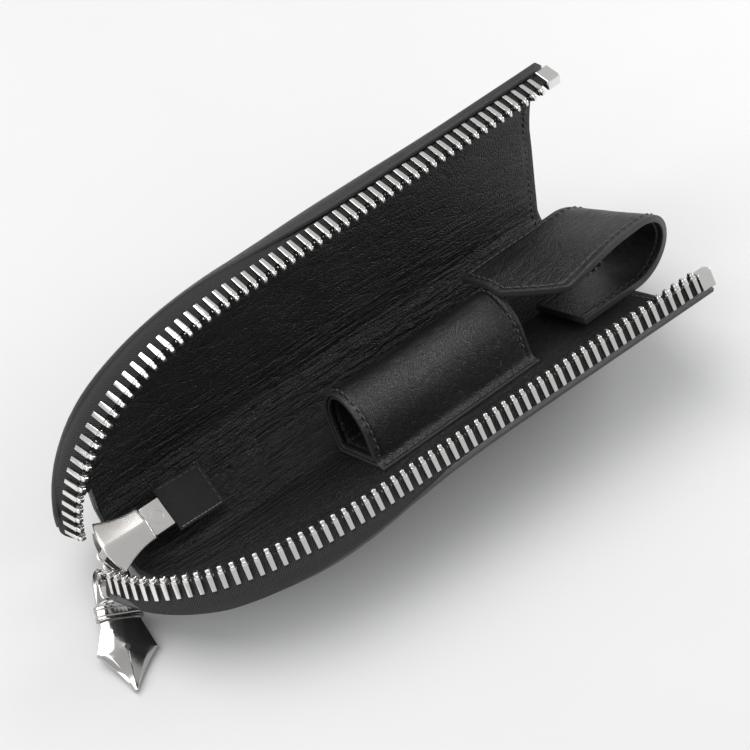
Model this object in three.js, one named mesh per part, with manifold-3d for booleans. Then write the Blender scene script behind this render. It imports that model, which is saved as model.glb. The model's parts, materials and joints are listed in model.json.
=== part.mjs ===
// A zip-round leather case for one fountain pen, standing open on its spine.
// Each half is drawn in the frame of the closed case: X runs along the spine towards the open end,
// "reach" runs from the fold line towards the zip (the frame's -Y), and "rise" runs from the lower
// half towards the upper half (the frame's +Z), with the zip's parting plane at rise 0.
import * as THREE from "three";
import { mergeVertices } from "three/addons/utils/BufferGeometryUtils.js";
import Module from "manifold-3d";

const wasm = await Module();
wasm.setup();

// Driving sizes, in millimetres and degrees.
const pose = { lowerTilt: 29.6, opening: 72.4 };
const shell = {
  openEnd: 80,
  depth: 15.5, // of one half, from the parting plane to its outer face
  spineReach: 13.5, // how far the spine lies behind the fold line
  spineEdge: 50, // degrees round the spine from its back to the edge of each half's leather
  restDepth: 12.2, // from the fold line down to the flat that the open case rests on
  rimDepth: 4, // the leather stops this far from the parting plane, and the zip fills the rest
  frontRound: 13,
  frontPower: 2, // of the curve from the rim to the outer face, where 2 is round and 1 is straight
  endRun: 24, // length over which the closed end tapers to its rim
  endBack: 3, // reach behind the fold line at the very end
  endDepth: 1, // below the rim at the very end
  shortest: 0.4, // of the faces on either side of the resting flat
  leather: 1.4,
  lining: 0.9,
  boardGap: 0.3,
  liningDrop: 1.6, // from the leather's rim down to the lining's
};
const zip = {
  reachAtOpenEnd: 54,
  reachAtBend: 50,
  bendX: -24,
  bendLength: 65,
  endReach: 6,
  bendPower: 2.2,
  firstTooth: 76,
  pitch: 3,
  toLeather: 3.3, // from the chain out to the leather's edge
  tapeThickness: 0.9,
  tapeTop: -2.3,
  tapeBottom: -4.7,
  tapeEnds: 1, // of tape before the first tooth, and short of the chain line's far end
};
shell.closedEnd = zip.bendX - zip.bendLength - zip.toLeather;
const tooth = {
  thickness: 1.15,
  width: 2.4,
  headShare: 0.8, // width of the head's top as a share of the tooth's
  head: 0.8,
  neck: -1.2,
  legEnd: -3.8,
  leg: 0.55,
  lastGap: 2.5, // at least, from the last tooth to the chain line's far end
};
const bead = { halfWidth: 0.45, top: tooth.neck + 0.15, bottom: tooth.neck - 0.8 };
// Past the bend the case flattens: its front wall slants and its edge draws in to the zip.
const mouth = { start: -42, end: 18, toLeather: 3, frontRound: 26, frontPower: 1.15 };
const topStop = { length: 4, width: 2.6, top: -0.3, bottom: -3.8, gap: 0.5 };
const slider = {
  postX: -83,
  noseX: -86,
  tailX: -72,
  noseHalfWidth: 7.6,
  noseRound: 3, // how far the nose's middle lies beyond its corners
  tailHalfWidth: 4.8,
  bite: 0.2, // how far joined pieces run into each other
  outerShare: 0.8, // the outer plate's width as a share of the inner plate's
  plate: 0.9,
  innerReach: 2.4,
  outerReach: -2.5,
  post: 3.2, // its length; its width is a little less
  postWidth: 2.6,
  wall: 0.8,
  wallHeight: 1.3,
  wallLength: 6,
};
const bottomStop = { length: 6.2, width: 8.4, thickness: 3.2, gap: 0.6 };
const zipTail = {
  length: 16,
  width: 13,
  thickness: 0.9,
  gap: 0.4,
  slope: 15, // degrees that it slants down from the stop towards the lining
};
const slot = { end: -68.5, halfWidth: 6.6, cornerEnd: -79.5, cornerReach: 9 };
const spineStrip = { start: -50, radius: 9.6, thickness: 0.8, halfAngle: 62, endGap: 1 };
const penLoop = {
  start: -15,
  length: 57,
  nearReach: 24,
  farReach: 4,
  foot: 0.35, // above the lining
  crest: 8.6,
  wall: 8, // height of its straight sides
  ply: 1.1,
  innerPly: 0.7,
  plyGap: 0.3,
  flange: 3.2,
  flangeBite: 0.5, // of the flange into the loop's near wall
};
const flap = {
  rootX: 60,
  nearReach: 34.5,
  rootReach: 24, // near side of the root, from which the curl's edge slants out to the tongue's
  farReach: 3,
  curlX: 80,
  seat: 0.35, // above the lining
  crest: 10.4,
  crestRun: 16, // length over which the tongue bends down from its crest
  tipX: penLoop.start + penLoop.length + 1,
  tipRise: 8,
  hingeGap: 0.3, // between the root's curl and the tongue's
  outerPly: 1,
  innerPly: 0.8,
  plyGap: 0.3,
  chamferX: 12,
  chamferReach: 15,
};
const swivel = {
  disc: 5.4,
  bore: 2.9,
  thickness: 1.1,
  tongue: 5,
  tongueWidth: 3.2,
  barrel: 1.9,
  barrelLength: 6.4,
  turn: 64.2, // degrees from the case's length
};
const rivet = { shank: 2.3, head: 4.2, headThickness: 0.8, clearance: 0.3, underPlate: 1.3, seam: 0.02 };
const pull = {
  length: 33,
  thickness: 2.2,
  headHalfWidth: 4.9,
  headCorner: 2.3, // width of each of the head's rounded corners
  headCornerLength: 2, // along the pull, from the pivot
  neckHalfWidth: 5.3, // under the collar
  headLength: 9,
  collarLength: 4.4,
  collarGap: 0.3,
  collarWall: 0.7,
  collarProud: 0.25, // above the nib's faces
  groove: 0.4, // width of the two grooves round the collar, and twice their depth
  grooveInset: 0.9,
  shoulderHalfWidth: 7.8,
  shoulderAt: 22,
  hollowHalfWidth: 3, // that the nib's hollow edges aim at, half way from shoulder to tip
  tipHalfWidth: 0.35,
  headRound: 1.3, // from the pivot to the end of the head
  hole: 2.4,
  holeLength: 4.6,
  holeSpacing: 4.2,
  holeFromPivot: 5.1,
  breather: 1.4,
  breatherAt: 21.4,
  waist: 0.5, // cut into each face for the collar
  room: 0.35, // round the swivel's barrel and tongue
  lean: 14.4, // degrees that it leans from the plane of the slider's plates towards the case
};

const rad = THREE.MathUtils.degToRad;
const lowerAngle = -rad(pose.lowerTilt);
const upperAngle = -rad(pose.lowerTilt + pose.opening);
const middleAngle = (lowerAngle + upperAngle) / 2;

// ---------------------------------------------------------------- solids

function toSolid(geometry) {
  const bare = new THREE.BufferGeometry().setAttribute("position", geometry.getAttribute("position"));
  if (geometry.index) bare.setIndex(geometry.index);
  const merged = mergeVertices(bare, 1e-4);
  const vertProperties = new Float32Array(merged.attributes.position.array);
  const triVerts = new Uint32Array(merged.index.array);
  return new wasm.Manifold(new wasm.Mesh({ numProp: 3, vertProperties, triVerts }));
}

function toGeometry(solid) {
  const mesh = solid.getMesh();
  return new THREE.BufferGeometry()
    .setAttribute("position", new THREE.BufferAttribute(new Float32Array(mesh.vertProperties), 3))
    .setIndex(new THREE.BufferAttribute(new Uint32Array(mesh.triVerts), 1));
}

// A closed skin over a row of loops with equal numbers of [x, y, z] points, both ends capped.
function loft(loops) {
  const count = loops[0].length;
  const positions = loops.flat(2);
  const index = [];
  for (let i = 0; i + 1 < loops.length; i++)
    for (let j = 0; j < count; j++) {
      const a = i * count + j;
      const b = i * count + ((j + 1) % count);
      index.push(a, b, a + count, b, b + count, a + count);
    }
  const last = (loops.length - 1) * count;
  for (let j = 1; j + 1 < count; j++) {
    index.push(0, j + 1, j);
    index.push(last, last + j, last + j + 1);
  }
  const geometry = new THREE.BufferGeometry()
    .setAttribute("position", new THREE.Float32BufferAttribute(positions, 3))
    .setIndex(index);
  return signedVolume(geometry) < 0 ? turnedInsideOut(geometry) : geometry;
}

function signedVolume(geometry) {
  const point = geometry.getAttribute("position");
  const corner = [new THREE.Vector3(), new THREE.Vector3(), new THREE.Vector3()];
  let sum = 0;
  for (let i = 0; i < geometry.index.count; i += 3) {
    corner.forEach((c, k) => c.fromBufferAttribute(point, geometry.index.getX(i + k)));
    sum += corner[0].dot(corner[1].cross(corner[2]));
  }
  return sum / 6;
}

function turnedInsideOut(geometry) {
  const index = Array.from(geometry.index.array);
  for (let i = 0; i < index.length; i += 3) [index[i + 1], index[i + 2]] = [index[i + 2], index[i + 1]];
  return geometry.setIndex(index);
}

// A box between two corners given as [x, reach, rise].
function block([x0, v0, w0], [x1, v1, w1]) {
  const box = new THREE.BoxGeometry(Math.abs(x1 - x0), Math.abs(v1 - v0), Math.abs(w1 - w0));
  return toSolid(box.translate((x0 + x1) / 2, -(v0 + v1) / 2, (w0 + w1) / 2));
}

// A flat shape drawn in (x, rise), given a thickness along reach starting at one value of reach.
function plateOf(shape, fromReach, thickness, curveSegments = 8) {
  const geometry = new THREE.ExtrudeGeometry(shape, { depth: thickness, bevelEnabled: false, curveSegments });
  return toSolid(geometry.rotateX(Math.PI / 2).translate(0, -fromReach, 0));
}

// A flat shape drawn in (x, rise), run across the case between two values of reach.
function acrossReach(shape, fromReach, toReach, curveSegments) {
  return plateOf(shape, fromReach, toReach - fromReach, curveSegments);
}

// ---------------------------------------------------------------- outline of the zip

function reachAt(x) {
  const run = zip.firstTooth - zip.bendX;
  return zip.reachAtOpenEnd - ((zip.reachAtOpenEnd - zip.reachAtBend) * (zip.firstTooth - x)) / run;
}

// The chain's line from its open end along the front and round the closed end to the spine.
class ChainLine extends THREE.Curve {
  getPoint(t, target = new THREE.Vector2()) {
    const straight = 0.55;
    if (t <= straight) {
      const x = THREE.MathUtils.lerp(zip.firstTooth, zip.bendX, t / straight);
      return target.set(x, reachAt(x));
    }
    const a = ((t - straight) / (1 - straight)) * (Math.PI / 2);
    const power = 2 / zip.bendPower;
    const height = zip.reachAtBend - zip.endReach;
    return target.set(
      zip.bendX - zip.bendLength * Math.sin(a) ** power,
      zip.endReach + height * Math.max(Math.cos(a), 0) ** power,
    );
  }
}
const chain = new ChainLine();
chain.arcLengthDivisions = 800;
const chainLength = chain.getLength();

// The point, tangent and outward normal of the chain at a distance from its first tooth.
function chainFrame(distance) {
  const u = THREE.MathUtils.clamp(distance / chainLength, 0, 1);
  const tangent = chain.getTangentAt(Math.min(Math.max(u, 1e-4), 1 - 1e-4));
  const point = chain.getPointAt(u).addScaledVector(tangent, distance - u * chainLength);
  return { point, tangent, normal: new THREE.Vector2(tangent.y, -tangent.x) };
}

// ---------------------------------------------------------------- leather half shells

// A size that has one value round the closed end and another along the straight part of the case.
function towardsMouth(x, usual, atMouth, start = mouth.start) {
  return THREE.MathUtils.lerp(usual, atMouth, THREE.MathUtils.smoothstep(x, start, mouth.end));
}

// The reach of the leather's front edge at a place along the case.
function leatherReach(x) {
  if (x >= zip.bendX) return reachAt(x) + towardsMouth(x, zip.toLeather, mouth.toLeather, zip.bendX);
  const share = Math.min((zip.bendX - x) / (zip.bendX - shell.closedEnd), 1);
  const height = zip.reachAtBend + zip.toLeather - zip.endReach;
  return zip.endReach + height * (1 - share ** zip.bendPower) ** (1 / zip.bendPower);
}

// One section of the filled half case, taken in from its outer face by an inset.
function halfSection(x, inset) {
  const end = shell.closedEnd + inset;
  const share = THREE.MathUtils.clamp((x - end) / (shell.endRun - inset), 0, 1);
  const taper = Math.sqrt(1 - (1 - share) ** 2);
  const rim = shell.rimDepth;
  const deep = rim + shell.endDepth + (shell.depth - inset - rim - shell.endDepth) * taper;
  const front = Math.max(leatherReach(x - inset) - inset, zip.endReach + 0.5);
  const back = shell.endBack + (shell.spineReach - inset - shell.endBack) * taper;
  const fullRound = towardsMouth(x, shell.frontRound, mouth.frontRound) - inset;
  const round = Math.min(fullRound, (front + back) * 0.45);
  const power = 2 / towardsMouth(x, shell.frontPower, mouth.frontPower);
  const loop = [[front, 1]];
  const steps = 6;
  for (let k = 0; k <= steps; k++) {
    const a = (k / steps) * (Math.PI / 2);
    const across = Math.max(Math.cos(a), 0) ** power;
    loop.push([front - round * (1 - across), -rim - (deep - rim) * Math.sin(a) ** power]);
  }
  // The flat that the open case rests on slants across the spine's lower corner.
  const flat = shell.restDepth - inset;
  const sin = Math.sin(rad(pose.lowerTilt));
  const cos = Math.cos(rad(pose.lowerTilt));
  const flatFront = Math.max((deep * cos - flat) / sin, -back + shell.shortest);
  const flatBack = Math.max((back * sin - flat) / cos, -deep + shell.shortest);
  loop.push([Math.min(flatFront, front - round - 1), -deep]);
  loop.push([-back, flatBack], [-back, 1]);
  return loop.map(([v, w]) => [x, -v, w]);
}

function halfBody(inset) {
  const from = shell.closedEnd + inset;
  const bend = zip.bendX;
  const stations = [shell.openEnd + 1];
  const straightSteps = 5;
  for (let k = 0; k < straightSteps; k++)
    stations.push(THREE.MathUtils.lerp(mouth.end, bend, k / straightSteps));
  stations.push(bend);
  const steps = 12;
  for (let k = 1; k <= steps; k++) {
    const a = (k / steps) * (Math.PI / 2);
    stations.push(bend - (bend - from) * Math.sin(a));
  }
  return toSolid(loft(stations.map((x) => halfSection(x, inset))));
}

// A skin of the half case between two insets, trimmed at the open end, below a rise and at the slot.
function halfSkin(outerInset, innerInset, top) {
  const far = 300;
  const skin = halfBody(outerInset).subtract(halfBody(innerInset));
  return skin
    .subtract(block([-far, -far, top], [far, far, far]))
    .subtract(block([shell.openEnd, -far, -far], [far, far, far]))
    .subtract(block([-far, -far, -slot.halfWidth], [slot.end, slot.cornerReach, far]))
    .subtract(block([-far, -far, -far], [slot.cornerEnd, slot.cornerReach, far]))
    .subtract(spineWedge(far));
}

// What each half leaves out behind the fold line, so that the two meet there when the case opens.
function spineWedge(far) {
  const slope = Math.tan(rad(shell.spineEdge));
  const shape = new THREE.Shape([
    new THREE.Vector2(0, far),
    new THREE.Vector2(-far, far),
    new THREE.Vector2(-far, -far * slope),
    new THREE.Vector2(0, 0),
  ]);
  return alongCase(shape, -far, 2 * far);
}

function cover() {
  return halfSkin(0, shell.leather, -shell.rimDepth);
}

const liningInset = shell.leather + shell.boardGap;
const liningFace = -(shell.depth - liningInset - shell.lining); // rise of the lining's inner face

function lining() {
  return halfSkin(liningInset, liningInset + shell.lining, -shell.rimDepth - shell.liningDrop);
}

// ---------------------------------------------------------------- zip

// A band that stands along the chain's line between two distances from the first tooth.
function ribbon(from, to, halfThickness, top, bottom) {
  const steps = 34;
  const loops = [];
  for (let k = 0; k <= steps; k++) {
    const { point, normal } = chainFrame(THREE.MathUtils.lerp(from, to, k / steps));
    const at = (n, w) => [point.x + normal.x * n, -(point.y + normal.y * n), w];
    const [inner, outer] = [-halfThickness, halfThickness];
    loops.push([at(inner, top), at(outer, top), at(outer, bottom), at(inner, bottom)]);
  }
  return toSolid(loft(loops));
}

function zipTape() {
  return ribbon(-zip.tapeEnds, chainLength - zip.tapeEnds, zip.tapeThickness / 2, zip.tapeTop, zip.tapeBottom);
}

// One tooth: a head that crosses the parting plane on two legs that straddle the tape.
function toothSolid({ point, tangent }) {
  const w = tooth.width / 2;
  const inner = w - tooth.leg;
  const shape = new THREE.Shape([
    new THREE.Vector2(-w, tooth.legEnd),
    new THREE.Vector2(-inner, tooth.legEnd),
    new THREE.Vector2(-inner, tooth.neck),
    new THREE.Vector2(inner, tooth.neck),
    new THREE.Vector2(inner, tooth.legEnd),
    new THREE.Vector2(w, tooth.legEnd),
    new THREE.Vector2(w * tooth.headShare, tooth.head),
    new THREE.Vector2(-w * tooth.headShare, tooth.head),
  ]);
  const geometry = new THREE.ExtrudeGeometry(shape, { depth: tooth.thickness, bevelEnabled: false });
  geometry.translate(0, 0, -tooth.thickness / 2).rotateX(Math.PI / 2);
  geometry.rotateZ(-Math.atan2(tangent.y, tangent.x) + Math.PI / 2);
  return toSolid(geometry.translate(point.x, -point.y, 0));
}

// A row of teeth on its bead cord, starting a share of a pitch from the first tooth's place.
function teethRow(startShare) {
  const start = startShare * zip.pitch;
  const count = Math.floor((chainLength - tooth.lastGap - start) / zip.pitch) + 1;
  const end = start + (count - 1) * zip.pitch;
  let row = ribbon(start, end, bead.halfWidth, bead.top, bead.bottom);
  for (let i = 0; i < count; i++) row = row.add(toothSolid(chainFrame(start + i * zip.pitch)));
  return row;
}

function topStopSolid() {
  const from = zip.firstTooth + zip.tapeEnds + topStop.gap;
  const reach = reachAt(from);
  const half = topStop.width / 2;
  return block(
    [from, reach - half, topStop.bottom],
    [from + topStop.length, reach + half, topStop.top],
  );
}

// ---------------------------------------------------------------- slider and pull

// A shield: wide convex nose at the low x end, hollow sides, straight narrow tail.
function shieldShape(share) {
  const nose = slider.noseHalfWidth * share;
  const tail = slider.tailHalfWidth * share;
  const noseX = slider.noseX + slider.noseRound - slider.noseRound / 5;
  const middle = (noseX + slider.tailX) / 2;
  const shape = new THREE.Shape();
  shape.moveTo(slider.tailX, tail);
  shape.quadraticCurveTo(middle, tail, noseX, nose);
  shape.quadraticCurveTo(slider.noseX - slider.noseRound * 0.4, 0, noseX, -nose);
  shape.quadraticCurveTo(middle, -tail, slider.tailX, -tail);
  shape.closePath();
  return shape;
}

function sliderBody() {
  const inner = plateOf(shieldShape(1), slider.innerReach, slider.plate);
  const outer = plateOf(shieldShape(slider.outerShare), slider.outerReach - slider.plate, slider.plate);
  const post = block(
    [slider.postX - slider.post / 2, slider.outerReach - slider.bite, -slider.postWidth / 2],
    [slider.postX + slider.post / 2, slider.innerReach + slider.bite, slider.postWidth / 2],
  );
  let body = inner.add(outer).add(post);
  const edge = slider.tailHalfWidth * slider.outerShare;
  for (const side of [-1, 1]) {
    const from = [slider.tailX - slider.wallLength, slider.outerReach - slider.bite, side * (edge - slider.wall)];
    const to = [slider.tailX, slider.outerReach + slider.wallHeight, side * edge];
    body = body.add(block(from, to));
  }
  return body;
}

function roundBar(radius, from, to, x, w, segments = 20) {
  const bar = new THREE.CylinderGeometry(radius, radius, to - from, segments);
  return toSolid(bar.translate(x, -(from + to) / 2, w));
}

const outerFace = slider.outerReach - slider.plate;
const swivelTop = outerFace - rivet.underPlate;
const swivelMiddle = swivelTop - swivel.thickness / 2;

function rivetSolid() {
  const low = swivelTop - swivel.thickness - rivet.clearance;
  const shank = roundBar(rivet.shank / 2, low - slider.bite, outerFace - rivet.seam, slider.postX, 0);
  return shank.add(roundBar(rivet.head / 2, low - rivet.headThickness, low, slider.postX, 0));
}

// A round bar along rise, centred on the frame's origin.
function barrelBar(radius, length) {
  return toSolid(new THREE.CylinderGeometry(radius, radius, length, 14).rotateX(Math.PI / 2));
}

// The swivel is drawn with its tongue along -X from the rivet, in a group that turns about the rivet.
function swivelSolid() {
  const r = swivel.disc / 2;
  const from = swivelTop - swivel.thickness;
  const tongueEnd = -swivel.tongue;
  return roundBar(r, from, swivelTop, 0, 0, 24)
    .add(block([tongueEnd, from, -swivel.tongueWidth / 2], [0, swivelTop, swivel.tongueWidth / 2]))
    .add(barrelBar(swivel.barrel / 2, swivel.barrelLength).translate([tongueEnd, -swivelMiddle, 0]))
    .subtract(roundBar(swivel.bore / 2, from - 1, swivelTop + 1, 0, 0, 24));
}

// The pull is drawn along -X from its pivot, its width along rise and its thickness along reach.
function ovalHole(x, w, length, width) {
  const hole = new THREE.Path();
  const r = width / 2;
  hole.absarc(x - length / 2 + r, w, r, Math.PI / 2, (3 * Math.PI) / 2, false);
  hole.absarc(x + length / 2 - r, w, r, -Math.PI / 2, Math.PI / 2, false);
  hole.closePath();
  return hole;
}

const collarStart = -pull.headLength;
const collarEnd = collarStart - pull.collarLength;

function pullNib() {
  const head = pull.headHalfWidth;
  const neck = pull.neckHalfWidth;
  const cornerW = head - pull.headCorner;
  const end = pull.headRound;
  const tip = pull.tipHalfWidth;
  const side = pull.hollowHalfWidth;
  const edgeX = -pull.shoulderAt - (pull.length - pull.shoulderAt) / 2;
  const outline = new THREE.Shape();
  outline.moveTo(end, cornerW);
  outline.quadraticCurveTo(end, head, -pull.headCornerLength, head);
  outline.lineTo(collarEnd - 1, neck);
  outline.lineTo(-pull.shoulderAt, pull.shoulderHalfWidth);
  outline.quadraticCurveTo(edgeX, side, -pull.length, tip);
  outline.lineTo(-pull.length, -tip);
  outline.quadraticCurveTo(edgeX, -side, -pull.shoulderAt, -pull.shoulderHalfWidth);
  outline.lineTo(collarEnd - 1, -neck);
  outline.lineTo(-pull.headCornerLength, -head);
  outline.quadraticCurveTo(end, -head, end, -cornerW);
  outline.closePath();
  for (const w of [-pull.holeSpacing / 2, pull.holeSpacing / 2])
    outline.holes.push(ovalHole(-pull.holeFromPivot, w, pull.holeLength, pull.hole));
  const breather = new THREE.Path();
  breather.absarc(-pull.breatherAt, 0, pull.breather / 2, 0, 2 * Math.PI, false);
  outline.holes.push(breather);
  const half = pull.thickness / 2;
  const blank = plateOf(outline, -half, pull.thickness, 6);
  // A gap in the head takes the swivel's tongue and barrel, and a waist takes the collar.
  const gapHalf = swivel.tongueWidth / 2 + pull.room;
  const barrelRoom = swivel.barrel / 2 + pull.room;
  const far = 20;
  const tongueGap = block([-barrelRoom, -far, -gapHalf], [far, far, gapHalf]);
  let nib = blank.subtract(tongueGap).subtract(barrelBar(barrelRoom, swivel.barrelLength + 2 * pull.room));
  for (const face of [-1, 1]) {
    const cut = block([collarEnd, face * (half - pull.waist), -far], [collarStart, face * far, far]);
    nib = nib.subtract(cut);
  }
  return nib;
}

function pullCollar() {
  const half = pull.thickness / 2;
  const gap = pull.collarGap;
  const wall = pull.collarWall;
  const groove = pull.groove / 2;
  const w = pull.neckHalfWidth + gap;
  const inner = half - pull.waist + gap;
  const out = half + pull.collarProud;
  const x0 = collarEnd + gap;
  const x1 = collarStart - gap;
  const far = 20;
  let collar = block([x0, -out, -w - wall], [x1, out, w + wall]);
  collar = collar.subtract(block([x0 - 1, -inner, -w], [x1 + 1, inner, w]));
  for (const x of [x0 + pull.grooveInset, x1 - pull.grooveInset])
    for (const face of [-1, 1]) {
      const cut = block([x - groove, face * (out - groove), -far], [x + groove, face * far, far]);
      collar = collar.subtract(cut);
    }
  return collar;
}

// ---------------------------------------------------------------- zip end

function bottomStopSolid() {
  const from = slider.tailX + bottomStop.gap;
  const t = bottomStop.thickness / 2;
  return block([from, -t, -bottomStop.width / 2], [from + bottomStop.length, t, bottomStop.width / 2]);
}

function zipTailSolid() {
  const from = slider.tailX + bottomStop.gap + bottomStop.length + zipTail.gap;
  const t = zipTail.thickness / 2;
  const flat = block([0, -t, -zipTail.width / 2], [zipTail.length, t, zipTail.width / 2]);
  return flat.rotate([0, 0, zipTail.slope]).translate([from + t, 0, 0]);
}

// The strip of lining that bridges the two halves behind the fold line.
function spineStripSolid() {
  const shape = new THREE.Shape();
  const a = rad(spineStrip.halfAngle);
  shape.absarc(0, 0, spineStrip.radius, -a, a, false);
  shape.absarc(0, 0, spineStrip.radius - spineStrip.thickness, a, -a, true);
  shape.closePath();
  const length = shell.openEnd - spineStrip.endGap - spineStrip.start;
  const geometry = new THREE.ExtrudeGeometry(shape, { depth: length, bevelEnabled: false, curveSegments: 12 });
  // The arc is drawn about +X of its plane, which becomes the frame's +Y, behind the fold line.
  geometry.rotateX(Math.PI / 2).rotateZ(Math.PI / 2).translate(spineStrip.start, 0, 0);
  return toSolid(geometry);
}

// ---------------------------------------------------------------- pen loop

function archLoop(inset, foot) {
  const near = penLoop.nearReach - inset;
  const far = penLoop.farReach + inset;
  const middle = (near + far) / 2;
  const half = (near - far) / 2;
  const base = liningFace + foot;
  const springing = base + penLoop.wall;
  const top = penLoop.crest - inset;
  const shape = new THREE.Shape();
  shape.moveTo(far, base);
  shape.lineTo(near, base);
  shape.lineTo(near, springing);
  shape.absellipse(middle, springing, half, top - springing, 0, Math.PI, false, 0);
  shape.closePath();
  return shape;
}

// A shape drawn in (reach, rise) and run along the case.
function alongCase(shape, from, length, curveSegments = 7) {
  const geometry = new THREE.ExtrudeGeometry(shape, { depth: length, bevelEnabled: false, curveSegments });
  geometry.rotateX(Math.PI / 2).rotateZ(-Math.PI / 2);
  return toSolid(geometry.translate(from + length, 0, 0));
}

function penLoopPly(inset, thickness) {
  const length = penLoop.length;
  const foot = penLoop.foot + inset;
  const inner = alongCase(archLoop(inset + thickness, foot + thickness), penLoop.start - 1, length + 2);
  return alongCase(archLoop(inset, foot), penLoop.start, length).subtract(inner);
}

function penLoopOuter() {
  const base = liningFace + penLoop.foot;
  const near = penLoop.nearReach - penLoop.flangeBite;
  const flange = block(
    [penLoop.start, near, base],
    [penLoop.start + penLoop.length, near + penLoop.flange, base + penLoop.ply],
  );
  return penLoopPly(0, penLoop.ply).add(flange);
}

function penLoopInner() {
  return penLoopPly(penLoop.ply + penLoop.plyGap, penLoop.innerPly);
}

// ---------------------------------------------------------------- flap

// The flap is one strap of two plies. Its root ply lies on the lining and runs to the middle of the
// curl; the tongue carries on over the top and back above the case. Both are drawn in (x, rise).
function flapSizes(outerInset, thickness) {
  const seat = liningFace + flap.seat;
  return {
    bottom: seat + outerInset,
    top: flap.crest - outerInset,
    middle: (seat + flap.crest) / 2,
    outer: (flap.crest - seat) / 2 - outerInset,
    inner: (flap.crest - seat) / 2 - outerInset - thickness,
  };
}

function flapRoot(outerInset, thickness) {
  const { bottom, middle, outer, inner } = flapSizes(outerInset, thickness);
  const shape = new THREE.Shape();
  shape.moveTo(flap.rootX, bottom);
  shape.lineTo(flap.curlX, bottom);
  shape.absarc(flap.curlX, middle, outer, -Math.PI / 2, 0, false);
  shape.lineTo(flap.curlX + inner, middle);
  shape.absarc(flap.curlX, middle, inner, 0, -Math.PI / 2, true);
  shape.lineTo(flap.rootX, bottom + thickness);
  shape.closePath();
  return acrossReach(shape, flap.farReach, flap.nearReach, 5).subtract(curlEdge(flap.rootX - 1));
}

// What the flap leaves out beyond the slanting near edge of its curl, from a place along the case.
function curlEdge(from) {
  const far = 60;
  const shape = new THREE.Shape([
    new THREE.Vector2(flap.rootReach, liningFace),
    new THREE.Vector2(flap.nearReach, flap.crest),
    new THREE.Vector2(far, flap.crest),
    new THREE.Vector2(far, -far),
    new THREE.Vector2(flap.rootReach, -far),
  ]);
  return alongCase(shape, from, far);
}

function flapTongue(outerInset, thickness) {
  const { top, middle, outer, inner } = flapSizes(outerInset, thickness);
  const foot = middle + flap.hingeGap;
  const tipTop = flap.tipRise - outerInset;
  const shape = new THREE.Shape();
  shape.moveTo(flap.curlX + outer, foot);
  shape.absarc(flap.curlX, foot, outer, 0, Math.PI / 2, false);
  shape.lineTo(flap.curlX, top);
  shape.quadraticCurveTo(flap.curlX - flap.crestRun, top, flap.tipX, tipTop);
  shape.lineTo(flap.tipX, tipTop - thickness);
  shape.quadraticCurveTo(flap.curlX - flap.crestRun, top - thickness, flap.curlX, top - thickness);
  shape.absarc(flap.curlX, foot, inner, Math.PI / 2, 0, true);
  shape.closePath();
  const strap = acrossReach(shape, flap.farReach, flap.nearReach, 6);
  const chamferStart = flap.nearReach - flap.chamferReach;
  const corner = new THREE.Shape([
    new THREE.Vector2(flap.tipX - 1, flap.nearReach + 1),
    new THREE.Vector2(flap.tipX - 1, chamferStart),
    new THREE.Vector2(flap.tipX, chamferStart),
    new THREE.Vector2(flap.tipX + flap.chamferX, flap.nearReach),
    new THREE.Vector2(flap.tipX + flap.chamferX, flap.nearReach + 1),
  ]);
  const high = 30;
  const cut = new THREE.ExtrudeGeometry(corner, { depth: high, bevelEnabled: false });
  return strap
    .subtract(toSolid(cut.rotateX(Math.PI).translate(0, 0, high)))
    .subtract(curlEdge(flap.curlX));
}

// ---------------------------------------------------------------- assembly

const finish = {
  leather: { color: 0x141416, roughness: 0.5, metalness: 0 },
  lining: { color: 0x101012, roughness: 0.6, metalness: 0 },
  tape: { color: 0x0c0c0e, roughness: 0.9, metalness: 0 },
  nickel: { color: 0xc9c7bf, roughness: 0.22, metalness: 1 },
};

function piece(name, solid, look) {
  const mesh = new THREE.Mesh(toGeometry(solid), new THREE.MeshStandardMaterial(finish[look]));
  mesh.name = name;
  return mesh;
}

// A piece of the upper half is the lower half's piece seen in the parting plane.
function mirrored(mesh) {
  mesh.scale.z = -1;
  return mesh;
}

function turned(angle, ...meshes) {
  const group = new THREE.Group();
  group.rotation.x = angle;
  group.add(...meshes);
  return group;
}

const lowerHalf = turned(
  lowerAngle,
  piece("lower_cover", cover(), "leather"),
  piece("lower_lining", lining(), "lining"),
  piece("lower_zip_tape", zipTape(), "tape"),
  piece("lower_zip_teeth", teethRow(0), "nickel"),
  piece("lower_top_stop", topStopSolid(), "nickel"),
  piece("pen_loop_leather", penLoopOuter(), "leather"),
  piece("pen_loop_lining", penLoopInner(), "lining"),
  piece("flap_root_leather", flapRoot(0, flap.outerPly), "leather"),
  piece("flap_root_lining", flapRoot(flap.outerPly + flap.plyGap, flap.innerPly), "lining"),
  piece("flap_tongue_leather", flapTongue(0, flap.outerPly), "leather"),
  piece("flap_tongue_lining", flapTongue(flap.outerPly + flap.plyGap, flap.innerPly), "lining"),
);

const upperHalf = turned(
  upperAngle,
  mirrored(piece("upper_cover", cover(), "leather")),
  mirrored(piece("upper_lining", lining(), "lining")),
  mirrored(piece("upper_zip_tape", zipTape(), "tape")),
  mirrored(piece("upper_zip_teeth", teethRow(0.5), "nickel")),
  mirrored(piece("upper_top_stop", topStopSolid(), "nickel")),
);

const pullGroup = new THREE.Group();
pullGroup.add(piece("pull_nib", pullNib(), "nickel"), piece("pull_collar", pullCollar(), "nickel"));
pullGroup.position.set(-swivel.tongue, -swivelMiddle, 0);
pullGroup.rotation.z = rad(pull.lean);

const swivelGroup = new THREE.Group();
swivelGroup.add(piece("pull_swivel", swivelSolid(), "nickel"), pullGroup);
swivelGroup.position.set(slider.postX, 0, 0);
swivelGroup.rotation.y = -rad(swivel.turn);

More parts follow.
